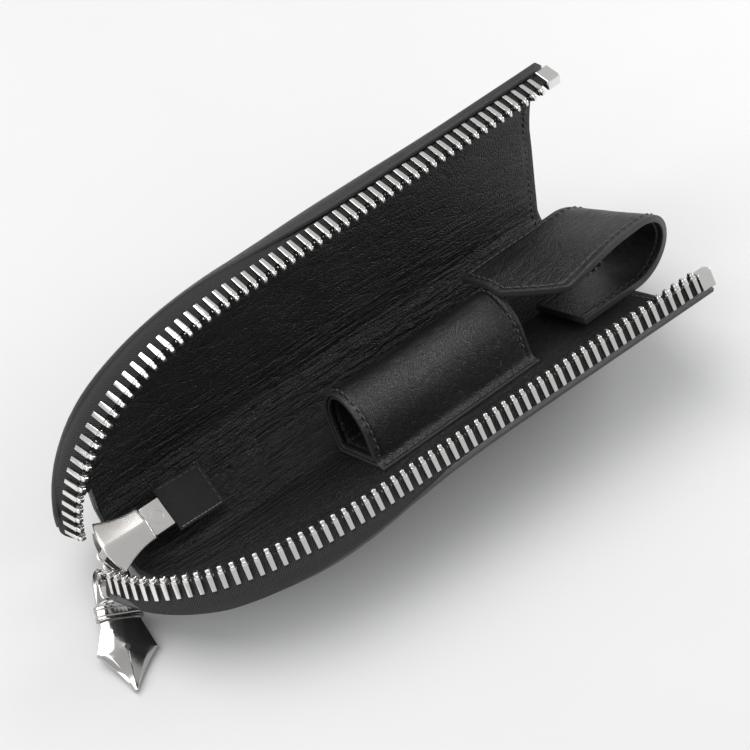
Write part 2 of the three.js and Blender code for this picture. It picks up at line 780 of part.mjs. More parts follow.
const zipEnd = turned(
  middleAngle,
  piece("slider_body", sliderBody(), "nickel"),
  piece("slider_rivet", rivetSolid(), "nickel"),
  piece("bottom_stop", bottomStopSolid(), "nickel"),
  piece("zip_tail", zipTailSolid(), "tape"),
  piece("spine_lining", spineStripSolid(), "lining"),
  swivelGroup,
);

const penCase = new THREE.Group();
penCase.add(lowerHalf, upperHalf, zipEnd);

// The origin is on the surface that the case stands on, below the middle of its outline.
penCase.updateMatrixWorld(true);
const outline = new THREE.Box3().setFromObject(penCase, true);
const middle = outline.getCenter(new THREE.Vector3());
penCase.position.set(-middle.x, -middle.y, -outline.min.z);

export default penCase;
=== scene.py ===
import json
import math
import random

import bmesh
import bpy
import numpy as np
from mathutils import Matrix, Vector, noise


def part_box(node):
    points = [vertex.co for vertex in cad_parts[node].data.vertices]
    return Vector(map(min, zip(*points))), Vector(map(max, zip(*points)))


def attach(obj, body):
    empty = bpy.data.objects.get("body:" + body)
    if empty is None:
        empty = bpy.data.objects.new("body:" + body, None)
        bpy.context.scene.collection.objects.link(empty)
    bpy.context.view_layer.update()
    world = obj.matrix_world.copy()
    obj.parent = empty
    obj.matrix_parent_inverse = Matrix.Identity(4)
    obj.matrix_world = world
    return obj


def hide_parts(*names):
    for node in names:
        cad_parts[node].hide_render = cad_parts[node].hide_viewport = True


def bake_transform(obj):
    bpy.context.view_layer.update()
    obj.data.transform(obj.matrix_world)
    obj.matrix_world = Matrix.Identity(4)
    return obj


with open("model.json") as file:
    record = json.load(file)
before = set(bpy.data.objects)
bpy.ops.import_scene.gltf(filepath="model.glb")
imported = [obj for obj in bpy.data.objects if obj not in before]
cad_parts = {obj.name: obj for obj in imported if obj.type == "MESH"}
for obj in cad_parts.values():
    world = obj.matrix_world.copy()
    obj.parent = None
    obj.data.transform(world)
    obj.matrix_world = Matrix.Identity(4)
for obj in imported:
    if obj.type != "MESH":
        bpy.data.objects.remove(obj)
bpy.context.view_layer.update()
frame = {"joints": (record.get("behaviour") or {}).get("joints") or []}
mm = 0.001
hair = 0.0000001  # vertices closer than this are one

# Everything is drawn in millimetres in the frame of the closed case: x along the spine towards
# the open end, reach from the fold line towards the zip, rise from the lower half to the upper.
foldPoint = Vector(next(j for j in frame["joints"] if j["name"] == "case_fold")["pos_m"])
shell = {
    "openEnd": 80.0,
    "depth": 15.5,
    "spineEdge": 50.0,  # degrees round the spine from its back to the end of each half
    "spineReach": 13.5,
    "restDepth": 12.2,
    "rim": 4.0,
    "wall": {"lower": 4.0, "upper": 6.6},  # depth to which the front wall stands straight
    "wallAtMouth": {"lower": 6.0, "upper": 8.4},
    "endLift": {"lower": 0.16, "upper": 0.0},
    "frontRound": {"lower": 13.0, "upper": 11.0},
    "endRun": 24.0,
    "mouth": {"lower": (-52.0, 10.0), "upper": (0.0, 95.0)},
    "mouthRound": 26.0,
    "mouthPower": 1.15,
}
zipLine = {
    "reachAtMouth": 54.0,
    "reachAtBend": 50.0,
    "bendX": -24.0,
    "bendLength": 65.0,
    "endReach": 6.0,
    "power": 2.2,
    "firstTooth": 76.0,
    "pitch": 3.0,
    "toLeather": 3.3,
    "toLeatherAtMouth": 3.0,
}
tilt = {"lower": 29.6, "upper": 102.0, "middle": 65.8}
closedEnd = zipLine["bendX"] - zipLine["bendLength"] - zipLine["toLeather"]
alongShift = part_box("lower_cover")[1].x / mm - shell["openEnd"]
origin = np.array([alongShift, foldPoint.y / mm, foldPoint.z / mm])


def place(points, half):
    # (x, reach, rise) of a half, in millimetres, to metres in the part's frame
    p = np.asarray(points, float)
    a = math.radians(tilt[half])
    rise = -p[..., 2] if half == "upper" else p[..., 2]
    y = -p[..., 1] * math.cos(a) + rise * math.sin(a)
    z = p[..., 1] * math.sin(a) + rise * math.cos(a)
    return (np.stack([p[..., 0], y, z], -1) + origin) * mm


def smoothstep(x, low, high):
    t = np.clip((x - low) / (high - low), 0, 1)
    return t * t * (3 - 2 * t)


def towardsMouth(x, usual, atMouth, half):
    return usual + (atMouth - usual) * smoothstep(x, *shell["mouth"][half])


def deepAt(x, inset, half):
    end = closedEnd + inset
    share = min(max((x - end) / (shell["endRun"] - inset), 0), 1)
    taper = math.sqrt(1 - (1 - share) ** 2)
    deep = shell["rim"] + 1 + (shell["depth"] - inset - shell["rim"] - 1) * taper
    return deep * (1 - shell["endLift"][half] * float(smoothstep(-x, 52, 90))), taper


def rimAt(x, half):
    # how far below the parting plane the leather's edge lies; the tape fills the gap to the teeth
    return min(5.2 + 7.0 * smoothstep(-x, -12, 72), deepAt(x, 0, half)[0] - 1.6)


class Wire:
    def __init__(self, finish, socket):
        self.finish = finish
        self.socket = socket

    def maths(self, operation, first, second):
        return self.finish.add("ShaderNodeMath", {"operation": operation}, {0: first, 1: second})

    def __add__(self, other):
        return self.maths("ADD", self, other)

    def __sub__(self, other):
        return self.maths("SUBTRACT", self, other)

    def __rsub__(self, other):
        return self.maths("SUBTRACT", other, self)

    def __mul__(self, other):
        return self.maths("MULTIPLY", self, other)

    def __rmul__(self, other):
        return self.maths("MULTIPLY", other, self)


class Finish:
    def __init__(self, name):
        self.material = bpy.data.materials.new(name)
        self.material.use_nodes = True
        self.tree = self.material.node_tree
        self.shader = self.tree.nodes["Principled BSDF"]

    def add(self, kind, settings=None, sockets=None, output=0):
        node = self.tree.nodes.new(kind)
        for key, value in (settings or {}).items():
            if key == "stops":
                ramp = node.color_ramp
                for i, (position, colour) in enumerate(value):
                    stop = ramp.elements[i] if i < 2 else ramp.elements.new(position)
                    stop.position = position
                    stop.color = colour
            else:
                setattr(node, key, value)
        for key, value in (sockets or {}).items():
            self.feed(node.inputs[key], value)
        return Wire(self, node.outputs[output])

    def feed(self, socket, value):
        if isinstance(value, Wire):
            self.tree.links.new(value.socket, socket)
        else:
            socket.default_value = value

    def surface(self, **values):
        names = {"color": "Base Color", "coat": "Coat Weight", "coatRoughness": "Coat Roughness"}
        for key, value in values.items():
            self.feed(self.shader.inputs[names.get(key, key.capitalize())], value)
        return self.material

    def place(self, scale=(1, 1, 1)):
        # object coordinates in millimetres, stretched by scale
        where = self.add("ShaderNodeTexCoord", output=3)
        factor = [1000 * s for s in scale]
        return self.add("ShaderNodeVectorMath", {"operation": "MULTIPLY"}, {0: where, 1: factor})

    def noise(self, vector, scale, detail=3.0, roughness=0.55):
        sockets = {"Vector": vector, "Scale": scale, "Detail": detail, "Roughness": roughness}
        return self.add("ShaderNodeTexNoise", None, sockets)

    def cells(self, vector, scale, feature="DISTANCE_TO_EDGE", randomness=1.0):
        sockets = {"Vector": vector, "Scale": scale, "Randomness": randomness}
        return self.add("ShaderNodeTexVoronoi", {"feature": feature}, sockets)

    def spread(self, value, low, high, toLow=0.0, toHigh=1.0):
        sockets = {"Value": value, 1: low, 2: high, 3: toLow, 4: toHigh}
        return self.add("ShaderNodeMapRange", {"clamp": True}, sockets)

    def mix(self, factor, first, second):
        sockets = {"Factor": factor, 6: first, 7: second}
        return self.add("ShaderNodeMix", {"data_type": "RGBA"}, sockets, output=2)

    def bump(self, height, distance, strength=1.0, normal=None):
        sockets = {"Height": height, "Distance": distance, "Strength": strength}
        if normal is not None:
            sockets["Normal"] = normal
        return self.add("ShaderNodeBump", None, sockets)

    def attribute(self, name):
        return self.add("ShaderNodeAttribute", {"attribute_name": name}, None, output=2)


def grey(value, warm=0.0):
    return (value * (1 + warm), value, value * (1 - warm), 1)


leatherFinish = {
    "calf": dict(base=0.0060, worn=0.014, rough=0.36, grain=1.7, depth=0.00009, crease=0.00014),
    "lining": dict(base=0.0045, worn=0.011, rough=0.36, grain=1.35, depth=0.00014, crease=0.00024),
    "strap": dict(base=0.0055, worn=0.013, rough=0.31, grain=1.8, depth=0.00008, crease=0.00012),
}


def leather(name, streak=(1, 1, 1)):
    spec = leatherFinish[name]
    f = Finish(name + "Leather")
    spot = f.place()
    drawn = f.place(streak)
    pebble = f.spread(f.cells(spot, spec["grain"]), 0.0, 0.22)
    fine = f.noise(spot, 3.2, 2.0)
    wrinkle = f.noise(drawn, 0.42, 5.0, 0.62)
    crease = f.spread(f.cells(drawn, 0.33), 0.0, 0.12)
    broad = f.noise(spot, 0.045, 2.0)
    seam = f.attribute("seam")  # 1 along a stitched line, 0 away from it
    edge = f.attribute("edge")  # 1 at a worn edge
    lumps = wrinkle * 0.75 + crease * 0.35
    colour = f.mix(f.spread(broad + 0.35 * fine, 0.5, 0.9), grey(spec["base"]), grey(spec["worn"]))
    colour = f.mix(f.spread(edge, 0.0, 1.0, 0.0, 0.65), colour, grey(0.036))
    rough = f.spread(wrinkle, 0.3, 0.7, spec["rough"] - 0.05, spec["rough"] + 0.09)
    rough = rough + 0.10 * (1 - pebble)
    skin = f.bump(pebble + 0.5 * fine, spec["depth"], 0.8)
    skin = f.bump(lumps, spec["crease"], 1.0, skin)
    fold = f.attribute("fold")  # 1 where the leather bends at the spine
    ripple = f.noise(f.place((0.10, 1.0, 1.0)), 0.85, 3.0, 0.6)
    skin = f.bump(ripple * fold, 0.0011, 1.0, skin)
    skin = f.bump(1 - seam, 0.00035, 1.0, skin)
    return f.surface(color=colour, roughness=rough, normal=skin)


def edgePaint():
    f = Finish("edgePaint")
    spot = f.place()
    fibres = f.noise(spot, 2.6, 4.0)
    colour = f.mix(fibres, grey(0.016), grey(0.055))
    rough = f.spread(fibres, 0.3, 0.7, 0.30, 0.48)
    return f.surface(color=colour, roughness=rough, normal=f.bump(fibres, 0.00012))


def tapeWeave():
    # two coordinates in millimetres along and across the tape drive a herringbone of fine yarns
    f = Finish("tapeWeave")
    along = f.attribute("along")
    across = f.attribute("across")
    diagonal = along * 9.0 + across * 7.0
    rib = f.add("ShaderNodeMath", {"operation": "SINE"}, {0: diagonal})
    cross = f.add("ShaderNodeMath", {"operation": "SINE"}, {0: across * 16.0 - along * 3.0})
    weave = rib * 0.5 + cross * 0.3
    fuzz = f.noise(f.place(), 5.0, 3.0)
    height = weave + fuzz * 0.6
    colour = f.mix(f.spread(height, -0.4, 1.2), grey(0.004), grey(0.030))
    rough = f.spread(fuzz, 0.2, 0.8, 0.62, 0.85)
    return f.surface(color=colour, roughness=rough, normal=f.bump(height, 0.00016))


def plated(name, base, rough, scratch=0.00001, warm=0.02):
    f = Finish(name)
    spot = f.place((0.35, 1, 1))
    rub = f.noise(spot, 1.6, 5.0, 0.6)
    haze = f.noise(f.place(), 0.35, 3.0)
    colour = f.mix(haze, grey(base * 0.93, warm), grey(base, warm))
    roughness = f.spread(rub, 0.35, 0.7, rough, rough + 0.05) + 0.04 * haze
    f.surface(metallic=1.0)
    return f.surface(color=colour, roughness=roughness, normal=f.bump(rub, scratch))


def threadFinish(name, shade):
    f = Finish(name)
    twist = f.noise(f.place(), 6.0, 2.0)
    colour = f.mix(twist, grey(shade * 0.6), grey(shade))
    rough = f.spread(twist, 0.3, 0.7, 0.5, 0.7)
    return f.surface(color=colour, roughness=rough, normal=f.bump(twist, 0.00008))


finishes = {
    "calf": leather("calf"),
    "lining": leather("lining", (0.32, 1.0, 1.0)),
    "strap": leather("strap"),
    "edge": edgePaint(),
    "tape": tapeWeave(),
    "polished": plated("polishedNickel", 0.52, 0.07, 0.000002),
    "nickel": plated("brightNickel", 0.82, 0.12, 0.000004),
    "satin": plated("satinNickel", 0.72, 0.20, 0.000006, 0.03),
    "thread": threadFinish("blackThread", 0.075),
    "paleThread": threadFinish("paleThread", 0.42),
}
print("finishes made:", len(finishes))


def newPiece(name, points, faces, *materials, smooth=True):
    mesh = bpy.data.meshes.new(name)
    mesh.from_pydata([tuple(p) for p in points], [], faces)
    obj = bpy.data.objects.new(name, mesh)
    bpy.context.scene.collection.objects.link(obj)
    for m in materials:
        mesh.materials.append(finishes[m])
    mesh.polygons.foreach_set("use_smooth", [smooth] * len(mesh.polygons))
    mesh.update()
    return obj


def setValues(obj, name, values):
    layer = obj.data.attributes.get(name) or obj.data.attributes.new(name, "FLOAT", "POINT")
    layer.data.foreach_set("value", np.asarray(values, np.float32).ravel())


def gridFaces(rows, cols, closed=False):
    faces = []
    for i in range(rows - 1):
        for j in range(cols if closed else cols - 1):
            k = (j + 1) % cols
            faces.append((i * cols + j, i * cols + k, (i + 1) * cols + k, (i + 1) * cols + j))
    return faces


def gridPiece(name, grid, half, *materials):
    # a sheet through a grid of points of one half
    return newPiece(name, place(grid.reshape(-1, 3), half), gridFaces(*grid.shape[:2]), *materials)


def tubeFaces(rows, sides):
    # a closed tube with a cap at each end
    last = (rows - 1) * sides
    caps = [list(range(sides))[::-1], [last + k for k in range(sides)]]
    return gridFaces(rows, sides, True) + caps


def ringFaces(rows, sides):
    # a tube whose last row joins its first
    last = (rows - 1) * sides
    closing = [(last + k, last + (k + 1) % sides, (k + 1) % sides, k) for k in range(sides)]
    return gridFaces(rows, sides, True) + closing


def rimOfGrid(n, m):
    # vertex numbers round the edge of an n by m grid
    there = [i * m for i in range(n)] + [(n - 1) * m + j for j in range(1, m)]
    return there + [i * m + m - 1 for i in range(n - 2, -1, -1)] + list(range(m - 2, 0, -1))


def lathe(profile, sides):
    # (radius, height) pairs turned about the second coordinate
    turns = [2 * math.pi * k / sides for k in range(sides)]
    return np.array([(r * math.cos(t), h, r * math.sin(t)) for r, h in profile for t in turns])


def settle(obj):
    # bakes the modifiers into the mesh
    graph = bpy.context.evaluated_depsgraph_get()
    made = bpy.data.meshes.new_from_object(obj.evaluated_get(graph))
    obj.modifiers.clear()
    obj.data = made
    return obj


def thicken(obj, thickness, offset, bevel=0.3, rimMaterial=1, backMaterial=0, segments=2):
    solid = obj.modifiers.new("thickness", "SOLIDIFY")
    solid.thickness = thickness * mm
    solid.offset = offset
    solid.use_even_offset = True
    solid.material_offset = backMaterial
    solid.material_offset_rim = rimMaterial
    roundOff(obj, bevel, segments)
    return settle(obj)


def inwardOffset(obj, side):
    # the grid is the outer face, so thickness goes inwards from its highest or its lowest face
    face = max(obj.data.polygons, key=lambda p: side * p.center.z)
    return -1.0 if side * face.normal.z > 0 else 1.0


def roundOff(obj, width, segments=2, angle=50):
    bevel = obj.modifiers.new("rounding", "BEVEL")
    bevel.width = width * mm
    bevel.segments = segments
    bevel.limit_method = "ANGLE"
    bevel.angle_limit = math.radians(angle)
    bevel.harden_normals = False


def faceOutwards(obj, weld=0.0):
    bm = bmesh.new()
    bm.from_mesh(obj.data)
    if weld:
        bmesh.ops.remove_doubles(bm, verts=bm.verts, dist=weld)
    bmesh.ops.recalc_face_normals(bm, faces=bm.faces)
    bm.to_mesh(obj.data)
    bm.free()
    return obj


def cutBy(obj, *cutters):
    for cutter in cutters:
        modifier = obj.modifiers.new("cut", "BOOLEAN")
        modifier.operation = "DIFFERENCE"
        modifier.solver = "EXACT"
        modifier.object = cutter
    settle(obj)
    for cutter in cutters:
        bpy.data.objects.remove(cutter)
    return obj


def smoothByAngle(obj, angle=35):
    # flat shading stays across edges sharper than the angle
    bm = bmesh.new()
    bm.from_mesh(obj.data)
    limit = math.radians(angle)
    for e in bm.edges:
        e.smooth = len(e.link_faces) == 2 and e.calc_face_angle(0) < limit
    for f in bm.faces:
        f.smooth = True
    bm.to_mesh(obj.data)
    bm.free()
    return obj


def finishOff(obj, body, slotName, *nodes):
    if nodes:
        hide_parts(*nodes)
    if isinstance(body, str):
        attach(obj, body)
    else:
        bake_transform(obj)
    return obj


def joined(parts):
    points, faces, shift = [], [], 0
    for p, f in parts:
        points.append(p)
        faces += [[i + shift for i in q] for q in f]
        shift += len(p)
    return np.concatenate(points), faces


def metalPiece(name, parts, finish, body, nodes, placer, bevel=0.0, angle=35):
    points, faces = joined(parts)
    obj = newPiece(name, placer(points), faces, finish)
    faceOutwards(obj, hair)
    if bevel:
        roundOff(obj, bevel, 3, 32)
        settle(obj)
    smoothByAngle(obj, angle)
    return finishOff(obj, body, "nickel", *nodes)


def reachAt(x):
    run = zipLine["firstTooth"] - zipLine["bendX"]
    fall = zipLine["reachAtMouth"] - zipLine["reachAtBend"]
    return zipLine["reachAtMouth"] - fall * (zipLine["firstTooth"] - x) / run


def chainTable():
    straight = np.linspace(zipLine["firstTooth"] + 8, zipLine["bendX"], 600)
    a = np.linspace(0, math.pi / 2, 1600)[1:]
    power = 2 / zipLine["power"]
    height = zipLine["reachAtBend"] - zipLine["endReach"]
    bendX = zipLine["bendX"] - zipLine["bendLength"] * np.sin(a) ** power
    bendV = zipLine["endReach"] + height * np.maximum(np.cos(a), 0) ** power
    x = np.concatenate([straight, bendX])
    v = np.concatenate([reachAt(straight), bendV])
    distance = np.concatenate([[0], np.cumsum(np.hypot(np.diff(x), np.diff(v)))]) - 8.006
    return x, v, distance


chainX, chainV, chainS = chainTable()
chainLength = chainS[-1]


def chainAt(s):
    # point, unit tangent and outward normal in (x, reach) at distances from the first tooth
    s = np.asarray(s, float)
    x, v = np.interp(s, chainS, chainX), np.interp(s, chainS, chainV)
    step = 0.4
    dx = np.interp(s + step, chainS, chainX) - np.interp(s - step, chainS, chainX)
    dv = np.interp(s + step, chainS, chainV) - np.interp(s - step, chainS, chainV)
    length = np.hypot(dx, dv)
    tx, tv = dx / length, dv / length
    return x, v, tx, tv, tv, -tx


def bendReach(x, toLeather):
    # the reach of the chain's line, or of the leather's edge when toLeather is its distance
    if x >= zipLine["bendX"]:
        return float(reachAt(x)) + toLeather
    share = min((zipLine["bendX"] - x) / (zipLine["bendLength"] + toLeather), 1)
    height = zipLine["reachAtBend"] + toLeather - zipLine["endReach"]
    return zipLine["endReach"] + height * (1 - share ** zipLine["power"]) ** (1 / zipLine["power"])


def leatherReach(x):
    narrower = zipLine["toLeather"] - zipLine["toLeatherAtMouth"]
    narrowing = smoothstep(x, zipLine["bendX"], 18) * narrower
    return bendReach(x, zipLine["toLeather"]) - float(narrowing)


def flare(w):
    # share of the way from the chain out to the wall's own line, going down from the teeth
    return smoothstep(-np.asarray(w, float), 1.5, 9.5)


def resample(line, count):
    length = np.concatenate([[0], np.cumsum(np.hypot(*np.diff(line, axis=0).T[:2]))])
    s = np.linspace(0, length[-1], count)
    return np.stack([np.interp(s, length, line[:, k]) for k in range(line.shape[1])], 1)


def eased(before, line, after):
    # rounds the corners of a line over as many samples as stand before and after it
    padded = np.concatenate([before, line, after])
    kernel = np.hanning(2 * len(before) + 3)[1:-1]
    kernel /= kernel.sum()
    return np.stack([np.convolve(padded[:, k], kernel, "valid") for k in (0, 1)], 1)


def wallProfile(x, inset, half):
    # (reach, rise) from above the rim, down the front wall, under the half and to the spine's edge
    deep, taper = deepAt(x, inset, half)
    base = min(towardsMouth(x, shell["wall"][half], shell["wallAtMouth"][half], half), deep - 1)
    front = max(leatherReach(x - inset) - inset, zipLine["endReach"] + 0.5)
    back = 3 + (shell["spineReach"] - inset - 3) * taper
    wanted = towardsMouth(x, shell["frontRound"][half], shell["mouthRound"], half) - inset
    rounding = min(wanted, (front + back) * 0.45)
    power = 2 / towardsMouth(x, 2.0, shell["mouthPower"], half)
    a = np.linspace(0, math.pi / 2, 60)
    v = front - rounding * (1 - np.maximum(np.cos(a), 0) ** power)
    w = -base - (deep - base) * np.sin(a) ** power
    flat = shell["restDepth"] - inset
    t = math.radians(tilt["lower"])
    flatFront = max((deep * math.cos(t) - flat) / math.sin(t), -back + 0.4)
    flatFront = min(flatFront, front - rounding - 1)
    edge = math.radians(shell["spineEdge"])
    radius = flat / math.sin(edge + t)
    corner = (-radius * math.cos(edge), -radius * math.sin(edge))
    line = np.array([(front, 0.0), *zip(v, w), (flatFront, -deep), corner])
    even = resample(line, 420)
    reach = 12
    before = 2 * even[:1] - even[reach:0:-1]
    after = 2 * even[-1:] - even[-2 : -reach - 2 : -1]
    return eased(before, even, after), radius


def halfSection(x, half, inset, rim, count, fromChain=None):
    line, radius = wallProfile(x, inset, half)
    if fromChain is not None:
        share = flare(line[:, 1])
        front = line[:, 0] > 0
        start = bendReach(x, 0) - fromChain
        line[:, 0] = np.where(front, start + (line[:, 0] - start) * share, line[:, 0])
    below = int(np.argmax(line[:, 1] <= -rim))
    t = (line[below - 1, 1] + rim) / (line[below - 1, 1] - line[below, 1])
    first = line[below - 1] + t * (line[below] - line[below - 1])
    return resample(np.concatenate([first[None], line[below:]]), count), radius


def wrapStations(step):
    bend = zipLine["bendX"]
    straight = list(np.arange(shell["openEnd"], bend, -step))
    steps = 44
    run = bend - closedEnd - 0.6
    return straight + [bend - run * math.sin(k / steps * math.pi / 2) for k in range(steps)]


def wrapGrid(spec, rimOf):
    # the whole skin, from the lower rim round the spine to the upper rim, at every station
    inset, perHalf, overSpine = spec["inset"], spec["perHalf"], spec["overSpine"]
    stations = wrapStations(spec["step"])
    spread = math.radians(tilt["middle"] - tilt["lower"]) - math.radians(shell["spineEdge"])
    rows, info = [], []
    for x in stations:
        xs = np.full((perHalf, 1), x)
        sides = []
        for half, shift in (("lower", 0), ("upper", 400)):
            rim = rimOf(x, half)
            section, radius = halfSection(x, half, inset, rim, perHalf, spec.get("fromChain"))
            section = np.hstack([section, np.where(section[:, :1] < 5, -99, rim + section[:, 1:2])])
            loose = section[:, :2] + looseness(x + shift, section[:, :2])
            sides.append((place(np.hstack([xs, loose]), half), section))
        phi = np.linspace(spread, -spread, overSpine + 2)[1:-1]
        arc = np.stack([np.full(overSpine, x), -radius * np.cos(phi), radius * np.sin(phi)], 1)
        rows.append(np.concatenate([sides[0][0], place(arc, "middle"), sides[1][0][::-1]]))
        arcHalf = np.tile((-radius, 0.0, -99.0), (overSpine, 1))
        section = np.concatenate([sides[0][1], arcHalf, sides[1][1][::-1]])
        info.append(np.hstack([np.full((len(section), 1), x), section]))
    rows, info = np.array(rows), np.array(info)
    rows[..., 0] += spec.get("endShift", 0) * mm * smoothstep(-info[..., 0], 74, 88)
    return rows, info


def looseness(x, half):
    # soft leather is never quite flat: a slow swell, held at the rim and at the spine
    count = len(half)
    t = np.linspace(0, 1, count)
    hold = np.sin(np.pi * np.clip(t, 0, 1)) ** 0.7
    slow = [noise.noise(Vector((x * 0.022, 3.1 + v * 0.03, w * 0.02))) for v, w in half]
    quick = [noise.noise(Vector((x * 0.06, v * 0.07, 9))) for v, w in half]
    swell = np.array(slow) + 0.5 * np.array(quick)
    out = np.zeros((count, 2))
    out[:, 1] = swell * hold * 0.55
    return out


notch = {"slotEnd": -67.7, "slotHalf": 7.4, "cornerEnd": -78.6, "cornerReach": 9.9, "spine": -9.0}


def inNotch(x, reach, rise):
    inSlot = x < notch["slotEnd"] and rise > -notch["slotHalf"] and reach > notch["spine"]
    return reach < notch["cornerReach"] and (x < notch["cornerEnd"] or inSlot)


def trimmed(obj, info):
    # cuts the notch at the closed end where the zip's end comes through
    mesh = obj.data
    flat = info.reshape(-1, 4)
    cut = [inNotch(*flat[list(poly.vertices)].mean(0)[:3]) for poly in mesh.polygons]
    bm = bmesh.new()
    bm.from_mesh(mesh)
    bm.faces.ensure_lookup_table()
    bmesh.ops.delete(bm, geom=[f for f, k in zip(bm.faces, cut) if k], context="FACES")
    loose = [v for v in bm.verts if not v.link_faces]
    bmesh.ops.delete(bm, geom=loose, context="VERTS")
    bm.to_mesh(mesh)
    bm.free()
    return obj


foldSpan = 3.2
foldStart = Vector(place((0, 0, -foldSpan), "middle"))
foldEnd = Vector(place((0, 0, foldSpan), "middle"))
acrossFold = ("lower_half", "upper_half", foldStart, foldEnd)


def seamNear(distance, width=0.45):
    return np.exp(-((distance / width) ** 2))


cover = {
    "inset": 0.0,
    "thickness": 1.4,
    "bevel": 0.35,
    "perHalf": 56,
    "overSpine": 16,
    "step": 2.0,
}


def makeCover():
    rows, info = wrapGrid(cover, rimAt)
    n, m = rows.shape[:2]
    obj = newPiece("outerLeather", rows.reshape(-1, 3), gridFaces(n, m), "calf", "edge")
    mouthGap = shell["openEnd"] - info[..., 0]
    setValues(obj, "seam", np.maximum(seamNear(mouthGap - 2.2), seamNear(info[..., 3] + 1.9) * 0.8))
    setValues(obj, "edge", np.exp(-mouthGap / 1.2) + np.exp(-np.abs(info[..., 3]) / 0.8) * 0.6)
    trimmed(obj, info)
    faceOutwards(obj)
    return thicken(obj, cover["thickness"], inwardOffset(obj, -1), cover["bevel"])


liningSpec = {
    "inset": 1.7,
    "thickness": 0.9,
    "bevel": 0.25,
    "rim": 3.6,
    "perHalf": 60,
    "overSpine": 14,
    "step": 2.0,
    "fromChain": 1.75,
    "endShift": 0.9,
}


def makeLining():
    spec = liningSpec
    rows, info = wrapGrid(spec, lambda x, half: spec["rim"])
    n, m = rows.shape[:2]
    obj = newPiece("innerLining", rows.reshape(-1, 3), gridFaces(n, m), "lining", "edge")
    mouthGap = shell["openEnd"] - info[..., 0]
    setValues(obj, "seam", np.maximum(seamNear(mouthGap - 2.2), seamNear(info[..., 3] + 2.2) * 0.7))
    setValues(obj, "fold", 1 - smoothstep(info[..., 1], 4, 26))
    setValues(obj, "edge", np.exp(-mouthGap / 1.0) * 0.8)
    trimmed(obj, info)
    faceOutwards(obj)
    return thicken(obj, spec["thickness"], inwardOffset(obj, -1), spec["bevel"], 0)


outerLeather = makeCover()
finishOff(outerLeather, acrossFold, "leather", "lower_cover", "upper_cover")
innerLining = makeLining()
finishOff(innerLining, acrossFold, "lining", "lower_lining", "upper_lining", "spine_lining")
print("leather wrap made:", len(outerLeather.data.polygons), len(innerLining.data.polygons))


tape = {"thickness": 0.55, "top": -1.75, "levels": 16}
toothSpec = {
    "width": 2.5,
    "length": 1.42,
    "legEnd": -4.7,
    "leg": 0.68,
    "shoulder": -1.0,
    "head": 1.0,
}


def wallTable(half):
    # distance from the chain out to the wall, by place along the case and rise
    xs = np.linspace(shell["openEnd"] + 4, closedEnd + 0.5, 160)
    ws = np.linspace(0, -14, 60)
    out = []
    for x in xs:
        line = wallProfile(min(x, shell["openEnd"]), 0.0, half)[0]
        down = line[: int(np.argmin(line[:, 1])) + 1]
        share = min(max((zipLine["bendX"] - x) / 40, 0), 1)
        gap = np.interp(-ws, -down[:, 1], down[:, 0]) - leatherReach(x)
        # round the closed end the wall is as far out along the chain's normal as the leather is
        gap = gap * (1 - share) + share * -np.maximum(-ws - 4, 0) ** 1.7 * 0.09
        fromLine = leatherReach(x) - bendReach(x, 0)
        out.append(gap + zipLine["toLeather"] * share + (1 - share) * fromLine)
    return xs[::-1], ws[::-1], np.array(out)[::-1, ::-1]


wallTables = {half: wallTable(half) for half in ("lower", "upper")}


def wallOut(x, w, half):
    tableX, tableW, tableOut = wallTables[half]
    i = np.clip(np.searchsorted(tableX, x) - 1, 0, len(tableX) - 2)
    t = (x - tableX[i]) / (tableX[i + 1] - tableX[i])
    row = tableOut[i] * (1 - t) + tableOut[i + 1] * t
    return np.interp(w, tableW, row)


def tapeOut(x, w, half):
    # how far outside the chain's line the middle of the tape lies
    return flare(w) * (wallOut(x, w, half) - 0.55)


def makeTape(half, body):
    s = np.linspace(-5.2, chainLength - 0.8, 240)
    x, v, *_, nx, nv = chainAt(s)
    grid, along, across = [], [], []
    for i in range(len(s)):
        levels = np.linspace(tape["top"], -rimAt(x[i], half) + 0.1, tape["levels"])
        out = tapeOut(x[i], levels, half)
        grid.append(np.stack([x[i] + nx[i] * out, v[i] + nv[i] * out, levels], 1))
        along.append(np.full(len(levels), s[i]))
        across.append(levels)
    grid = np.array(grid)
    obj = gridPiece(half + "Tape", grid, half, "tape")
    setValues(obj, "along", np.array(along))
    setValues(obj, "across", np.array(across))
    thicken(obj, tape["thickness"], 0.0, 0.12, 0)
    return finishOff(obj, body, "tape", half + "_zip_tape")


def beveledBox(low, high, width, segments=2):
    bm = bmesh.new()
    bmesh.ops.create_cube(bm, size=1)
    low, high = Vector(low), Vector(high)
    for v in bm.verts:
        v.co = Vector((low[k] + (v.co[k] + 0.5) * (high[k] - low[k]) for k in range(3)))
    shape = dict(offset=width, segments=segments, affect="EDGES", profile=0.6)
    bmesh.ops.bevel(bm, geom=list(bm.edges), **shape)
    points = np.array([v.co for v in bm.verts])
    faces = [[v.index for v in f.verts] for f in bm.faces]
    bm.free()
    return points, faces


